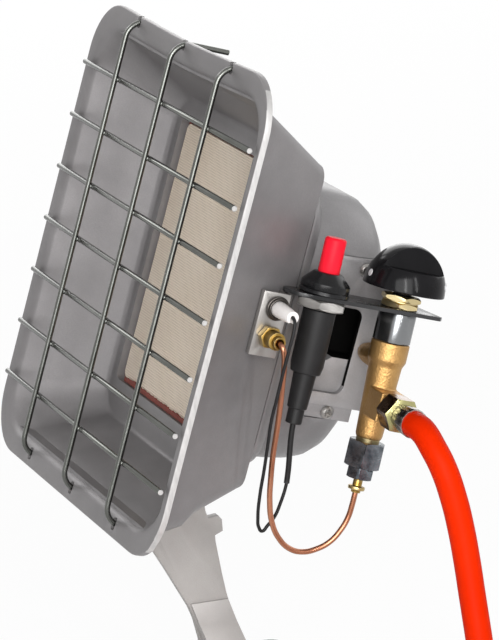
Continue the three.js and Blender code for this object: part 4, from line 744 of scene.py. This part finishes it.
knob_radius, knob_height = 21.8, 24.2
hub_radius, hub_drop, hollow_height = 4.9, 5.5, 9.5
rim_inside, rim_round = 19.9, 0.3
cut_height, ridge_half = 11.5, 6.5
knob_rise = 11.8
KNOB = VALVE @ on(z=knob_rise)
knob_dome = [(knob_radius * math.cos(a) ** 0.97, knob_height * math.sin(a))
             for a in (math.radians(step) for step in range(2, 90, 4))]
knob = turned([(hub_radius, hollow_height), (15.5, hollow_height), (18, 8),
               (rim_inside - rim_round, rim_round), (rim_inside, 0), (knob_radius - 0.4, 0),
               (knob_radius - 0.05, rim_round)] + knob_dome
              + [(0, knob_height), (0, -hub_drop), (hub_radius, -hub_drop),
                 (hub_radius, hollow_height)], 96)
cutter = (2 * knob_radius, 60, 30)
knob_cuts = [block(*cutter, on(side * (cutter[0] / 2 + ridge_half), 0,
                               cut_height + cutter[2] / 2)) for side in (-1, 1)]
piece("press_knob", "knob", knob_black,
      [(softened(carved(knob, *knob_cuts), 0.6, 3, 30), KNOB)], ["valve_knob"], 40)
dot = turned([(0, 0.3), (1.6, 0.3), (1.85, 0.1), (1.85, -0.8)], 32)
ring = turned([(1.7, 0.25), (2.2, 0.25), (2.2, -1), (1.7, -1), (1.7, 0.25)], 32)
piece("knob_marks", "knob", mark_white,
      [(dot, KNOB @ on(0, -21.1, 5.9) @ turn(82, "X")),
       (ring, KNOB @ turn(57) @ on(21.1, 0, 6.2) @ turn(82, "Y"))])

# Valve body, stamped brass with soft edges

core_foot, collar_foot, collar_top = -68, -25.6, -16.1
core_radius, shoulder_radius, collar_radius = 7.2, 8.8, 10.2
outlet_radius, outlet_length, outlet_height = 6.3, 25.5, -26.5
pad_across, pad_length = 15.4, 17.6
core = turned([(0, core_foot), (core_radius - 0.6, core_foot), (core_radius, core_foot + 1.9),
               (shoulder_radius, collar_foot - 3), (collar_radius, collar_foot),
               (collar_radius, collar_top), (0, collar_top)])
outlet = turned([(0, 0), (outlet_radius, 0), (outlet_radius, 14), (5.8, 19.8),
                 (4.3, outlet_length), (0, outlet_length)], 48)
inlet_pad = block(pad_across, pad_across, pad_length, on(z=pad_length / 2))
blank = as_object(gathered([(core, on()), (outlet, on(z=outlet_height) @ turn(-90, "Y")),
                            (inlet_pad, VALVE.inverted() @ UNION)]))
forging = blank.modifiers.new("forging", "REMESH")
forging.mode = "VOXEL"
forging.voxel_size = 0.5
eased = blank.modifiers.new("eased", "SMOOTH")
eased.factor = 0.5
eased.iterations = 5
piece("valve_casting", "heater", cast_brass, [(settled(blank), VALVE)],
      ["valve_body"], 75)
neck_radius, neck_bore, neck_top = 6.5, 5.2, 8.2
neck = turned([(neck_bore, -14), (neck_radius, -14), (neck_radius, neck_top),
               (neck_bore, neck_top)], 48)
foot = turned([(0, -70.5), (6, -70.5), (6.3, -70.1), (6.3, -64), (0, -64)], 48)
spigot = turned([(0, 16), (6.2, 16), (6.2, 24.6), (0, 24.6)], 48)
piece("valve_threads", "heater", pale_brass,
      [(neck, VALVE), (foot, VALVE), (spigot, UNION)])

# Nuts and fittings, with turned-off corners

nut_bore = neck_radius + fit_gap
panel_nut_across, panel_nut_height = 19, 3.2
igniter_nut_across, igniter_nut_height, igniter_nut_bore = 24, 5.2, 9.2
waist = turned([(nut_bore, 2.4), (9, 2.4), (9, 8.9), (nut_bore, 8.9), (nut_bore, 2.4)], 48)
piece("panel_nut_made", "heater", pale_brass,
      [(bored_nut(panel_nut_across, panel_nut_height, 2.3, nut_bore), VALVE),
       (bored_nut(panel_nut_across, panel_nut_height, 5.8, nut_bore), VALVE @ turn(15)),
       (waist, VALVE)], ["valve_panel_nut"])
clip_rings = []
for radius, wire, out in ((5.7, 0.75, 1.0), (5.1, 0.6, 2.5)):
    rim = [(radius + wire * math.cos(a), out + wire * math.sin(a))
           for a in (math.tau * step / 12 for step in range(13))]
    clip_rings.append((turned(rim, 48), HEAD @ on(*insulator_seat) @ turn(90, "Y")))
piece("clip_rings", "heater", spring_steel, clip_rings, ["insulator_clip"], 60)
piece("magnet_nut", "heater", grey_steel,
      [(hex_nut(18.6, 14, -83.6), VALVE), (hex_nut(13.2, 6.6, -89.8), VALVE)],
      ["magnet_adapter"])
# The union nut's flats carry the painted reflection of the hose; only its end faces get plain
# yellow zinc.
union_nut = piece("union_nut", "heater", hose_reflection_zinc,
                  [(hex_nut(17.3, union_length, union_foot + fit_gap), UNION)], ["hose_nut"])
second_finish(union_nut, yellow_zinc, lambda seat, normal: abs(normal.dot(union_aim)) > 0.2)
piece("igniter_nut", "heater", zinc_steel,
      [(bored_nut(igniter_nut_across, igniter_nut_height, -igniter_nut_height - fit_gap,
                  igniter_nut_bore), IGNITER)], ["piezo_nut"])
flute_depth, flute_pairs, flute_end = 0.42, 6, 43
flutes = turned([(0, 30.9), (6.2, 30.9), (6.7, 31.3), (7.6, 37.6), (7.75, 43.9), (7.6, 44.2),
                 (7.15, 44.2), (7.1, 40)], 144)
for vert in flutes.verts:
    if vert.co.z > 31 and vert.co.xy.length > 6.5:
        turned_by = math.atan2(vert.co.y, vert.co.x)
        deep = flute_depth * abs(math.cos(turned_by * flute_pairs)) ** 3
        vert.co.xy *= 1 - deep * (1 if vert.co.z < flute_end else 0.35) / vert.co.xy.length
piece("fluted_ferrule", "heater", crimped_zinc, [(flutes, UNION)], ["hose_ferrule"])
cone_foot, cone_top, cone_wide, cone_bore, cone_mouth = 2.3, 13.7, 12.9, 6, 7.2
collar = turned([(cone_mouth, cone_foot), (cone_wide, cone_foot), (13.2, 2.6), (13.2, 4.2),
                 (12.7, 4.6), (cone_wide, 5), (cone_wide, 8), (12.4, 8.8), (7.9, 13.3),
                 (cone_mouth, cone_top), (6.2, cone_top), (cone_bore, 13.4),
                 (cone_bore, cone_foot), (cone_mouth, cone_foot)], 72)
piece("igniter_collar", "heater", gloss_black, [(collar, IGNITER)],
      ["piezo_collar"], 30)
body_radius, step_radius, tip_radius, thread_radius = 8.7, 6.1, 4.3, 8.9
thread_top, body_top, body_foot, step_foot, tip_foot = 5.8, -5.8, -39.6, -58.6, -66.6
lead_hole, lead_hole_depth, well_radius, well_floor = 1.8, 6, 3.8, -9.2
igniter_shell = turned([
    (0, tip_foot + lead_hole_depth), (lead_hole, tip_foot + lead_hole_depth),
    (lead_hole, tip_foot), (tip_radius - 0.4, tip_foot), (tip_radius, tip_foot + 0.4),
    (tip_radius, step_foot), (4.75, step_foot), (5.25, step_foot + 0.5),
    (step_radius, body_foot), (7.5, body_foot), (8, body_foot + 0.5),
    (body_radius, body_foot + 4.6), (body_radius, body_top - 0.6),
    (body_radius - 0.6, body_top), (thread_radius, body_top),
    (thread_radius, thread_top - 0.4), (thread_radius - 0.4, thread_top),
    (well_radius, thread_top), (well_radius, well_floor), (0, well_floor)], 72)
piece("igniter_body", "heater", matt_black, [(igniter_shell, IGNITER)],
      ["piezo_body"], 30)

# Copper tube, from the sensor's nut down, round and up into the valve's gland

tube_radius = 1.5
copper_start = Vector((109.1, 47, -4))
loop_width, loop_drop = 7.3, 110.3
gland_foot, tube_seat = -97.5, -95.8
gland_mouth = into_head @ (VALVE @ Vector((0, 0, gland_foot)))
copper_run = [copper_start, copper_start + Vector((3, 0, 0))]
for bow, across, down in (
        (0.925, 0.008, 0.010), (1.027, 0.031, 0.040), (0.864, 0.065, 0.091),
        (0.574, 0.110, 0.192), (0.319, 0.149, 0.281), (0.018, 0.197, 0.424),
        (-0.252, 0.233, 0.539), (-0.461, 0.277, 0.653), (-0.558, 0.324, 0.765),
        (-0.572, 0.388, 0.864), (-0.660, 0.494, 0.945), (-0.665, 0.615, 0.990),
        (-0.565, 0.716, 0.995), (-0.468, 0.829, 0.970), (-0.326, 0.915, 0.926),
        (-0.194, 0.973, 0.861), (-0.114, 1.003, 0.792), (-0.031, 1.004, 0.729)):
    spot = copper_start.lerp(gland_mouth, across)
    copper_run.append(Vector((spot.x + bow * loop_width, spot.y,
                              copper_start.z - down * loop_drop)))
copper_run += [gland_mouth, into_head @ (VALVE @ Vector((0, 0, tube_seat)))]
piece("copper_tube", "heater", copper, [(tube(copper_run, tube_radius, 20), HEAD)],
      ["thermocouple_lead"], 60)

# Pieces that keep their own shape

for node, body, slot, material, width in (
        ("air_intake", "heater", "cast_aluminium", intake_aluminium, 0.6),
        ("intake_screw_lower", "heater", "zinc_steel", zinc_steel, 0.15),
        ("intake_screw_upper", "heater", "zinc_steel", zinc_steel, 0.15),
        ("control_plate", "heater", "black_steel", black_steel, 0.35),
        ("valve_sleeve", "heater", "grey_steel", sleeve_steel, 0.3),
        ("thermocouple_gland", "heater", "brass", pale_brass, 0.2),
        ("sensor_bracket", "heater", "zinc_steel", zinc_steel, 0.25),
        ("electrode_insulator", "heater", "glazed_ceramic", glazed_ceramic, 0.25),
        ("spark_electrode", "heater", "grey_steel", grey_steel, 0.2),
        ("thermocouple_nut", "heater", "brass", pale_brass, 0.25),
        ("thermocouple_tip", "heater", "grey_steel", grey_steel, 0.2),
        ("stand", "heater", "stand_aluminium", stand_aluminium, 0.5),
        ("stand_bolt_front", "heater", "zinc_steel", zinc_steel, 0.3),
        ("stand_bolt_rear", "heater", "zinc_steel", zinc_steel, 0.3),
        ("stand_nut_front", "heater", "zinc_steel", zinc_steel, 0.3),
        ("stand_nut_rear", "heater", "zinc_steel", zinc_steel, 0.3),
        ("valve_spindle", "knob", "grey_steel", grey_steel, 0.1),
        ("valve_driver", "driver", "grey_steel", grey_steel, 0.1),
        ("piezo_button", "igniter_button", "red_plastic", button_red, 0.6)):
    dressed(node, body, material, width)


hollow_low, hollow_high = (15, 84, -16), (71.6, 126, 40)
window_back = 113


def in_hollow(seat):
    """Whether a spot lies in the upper part of the intake's hollow, which is painted near-black
    as shade.
    """
    return all(low < at < high for low, at, high in zip(hollow_low, seat, hollow_high))


# Painted shade: the faces in the intake's upper hollow, on the intake and on the housing, are
# near-black.
second_finish(bpy.data.objects["air_intake_made"], hollow_shade,
              lambda seat, normal: in_hollow(seat) and seat.y < window_back)
second_finish(housing, hollow_shade, lambda seat, normal: in_hollow(seat))
spring_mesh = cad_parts["knob_spring"].data
spring_mesh.materials.clear()
spring_mesh.materials.append(grey_steel)

# Floor, light and background

floor_grid = bmesh.new()
bmesh.ops.create_grid(floor_grid, x_segments=2, y_segments=2, size=6)
floor = as_object(floor_grid, "floor")
floor_material, tree, surface, place = shader("pale floor")
surface.inputs["Roughness"].default_value = 0.9
tree.links.new(blended(tree, grain(tree, place, 3), (0.86, 0.86, 0.86), (0.9, 0.9, 0.9)),
               surface.inputs["Base Color"])
floor.data.materials.append(floor_material)


def white_for_seen_rays(tree):
    path = tree.nodes.new("ShaderNodeLightPath")
    seen = path.outputs["Is Camera Ray"]
    for other in ("Is Glossy Ray", "Is Transmission Ray"):
        add = tree.nodes.new("ShaderNodeMath")
        add.operation = "ADD"
        add.use_clamp = True
        tree.links.new(seen, add.inputs[0])
        tree.links.new(path.outputs[other], add.inputs[1])
        seen = add.outputs[0]
    return seen


glow_share = 0.93
glow = tree.nodes.new("ShaderNodeEmission")
glow.inputs["Color"].default_value = (1, 1, 1, 1)
veil = tree.nodes.new("ShaderNodeMixShader")
tree.links.new(joined(tree, "MULTIPLY", white_for_seen_rays(tree), glow_share, False),
               veil.inputs[0])
tree.links.new(surface.outputs[0], veil.inputs[1])
tree.links.new(glow.outputs[0], veil.inputs[2])
tree.links.new(veil.outputs[0], tree.nodes["Material Output"].inputs["Surface"])

world = bpy.data.worlds.new("studio")
bpy.context.scene.world = world
world.use_nodes = True
studio = world.node_tree
sky = studio.nodes["Background"]
sky.inputs["Strength"].default_value = 1
studio.links.new(blended(studio, white_for_seen_rays(studio), (0.21, 0.21, 0.21), (1, 1, 1)),
                 sky.inputs["Color"])

lamp_aim = Vector((0, 0, 0.2))
for name, spot, wide, tall, power in (
        ("key_light", (2.55, -1.1, 0.95), 2.4, 2.4, 96),
        ("strip_light_left", (2.2, -0.71, 1.1), 0.1, 1.4, 15),
        ("strip_light_right", (2.27, 0.5, 1.1), 0.08, 1.4, 11),
        ("side_light", (-2.3, -1.0, 1.7), 0.9, 0.9, 12),
        ("back_light", (-0.6, 2.7, 1.4), 2.0, 2.0, 14),
        ("far_light", (-2.5, 0.8, 1.2), 2.0, 2.0, 26)):
    lamp = bpy.data.lights.new(name, "AREA")
    lamp.shape = "RECTANGLE"
    lamp.size = wide
    lamp.size_y = tall
    lamp.energy = power
    holder = bpy.data.objects.new(name, lamp)
    holder.location = spot
    holder.rotation_euler = (lamp_aim - Vector(spot)).to_track_quat("-Z", "Y").to_euler()
    bpy.context.collection.objects.link(holder)

bpy.context.scene.view_settings.view_transform = "Standard"
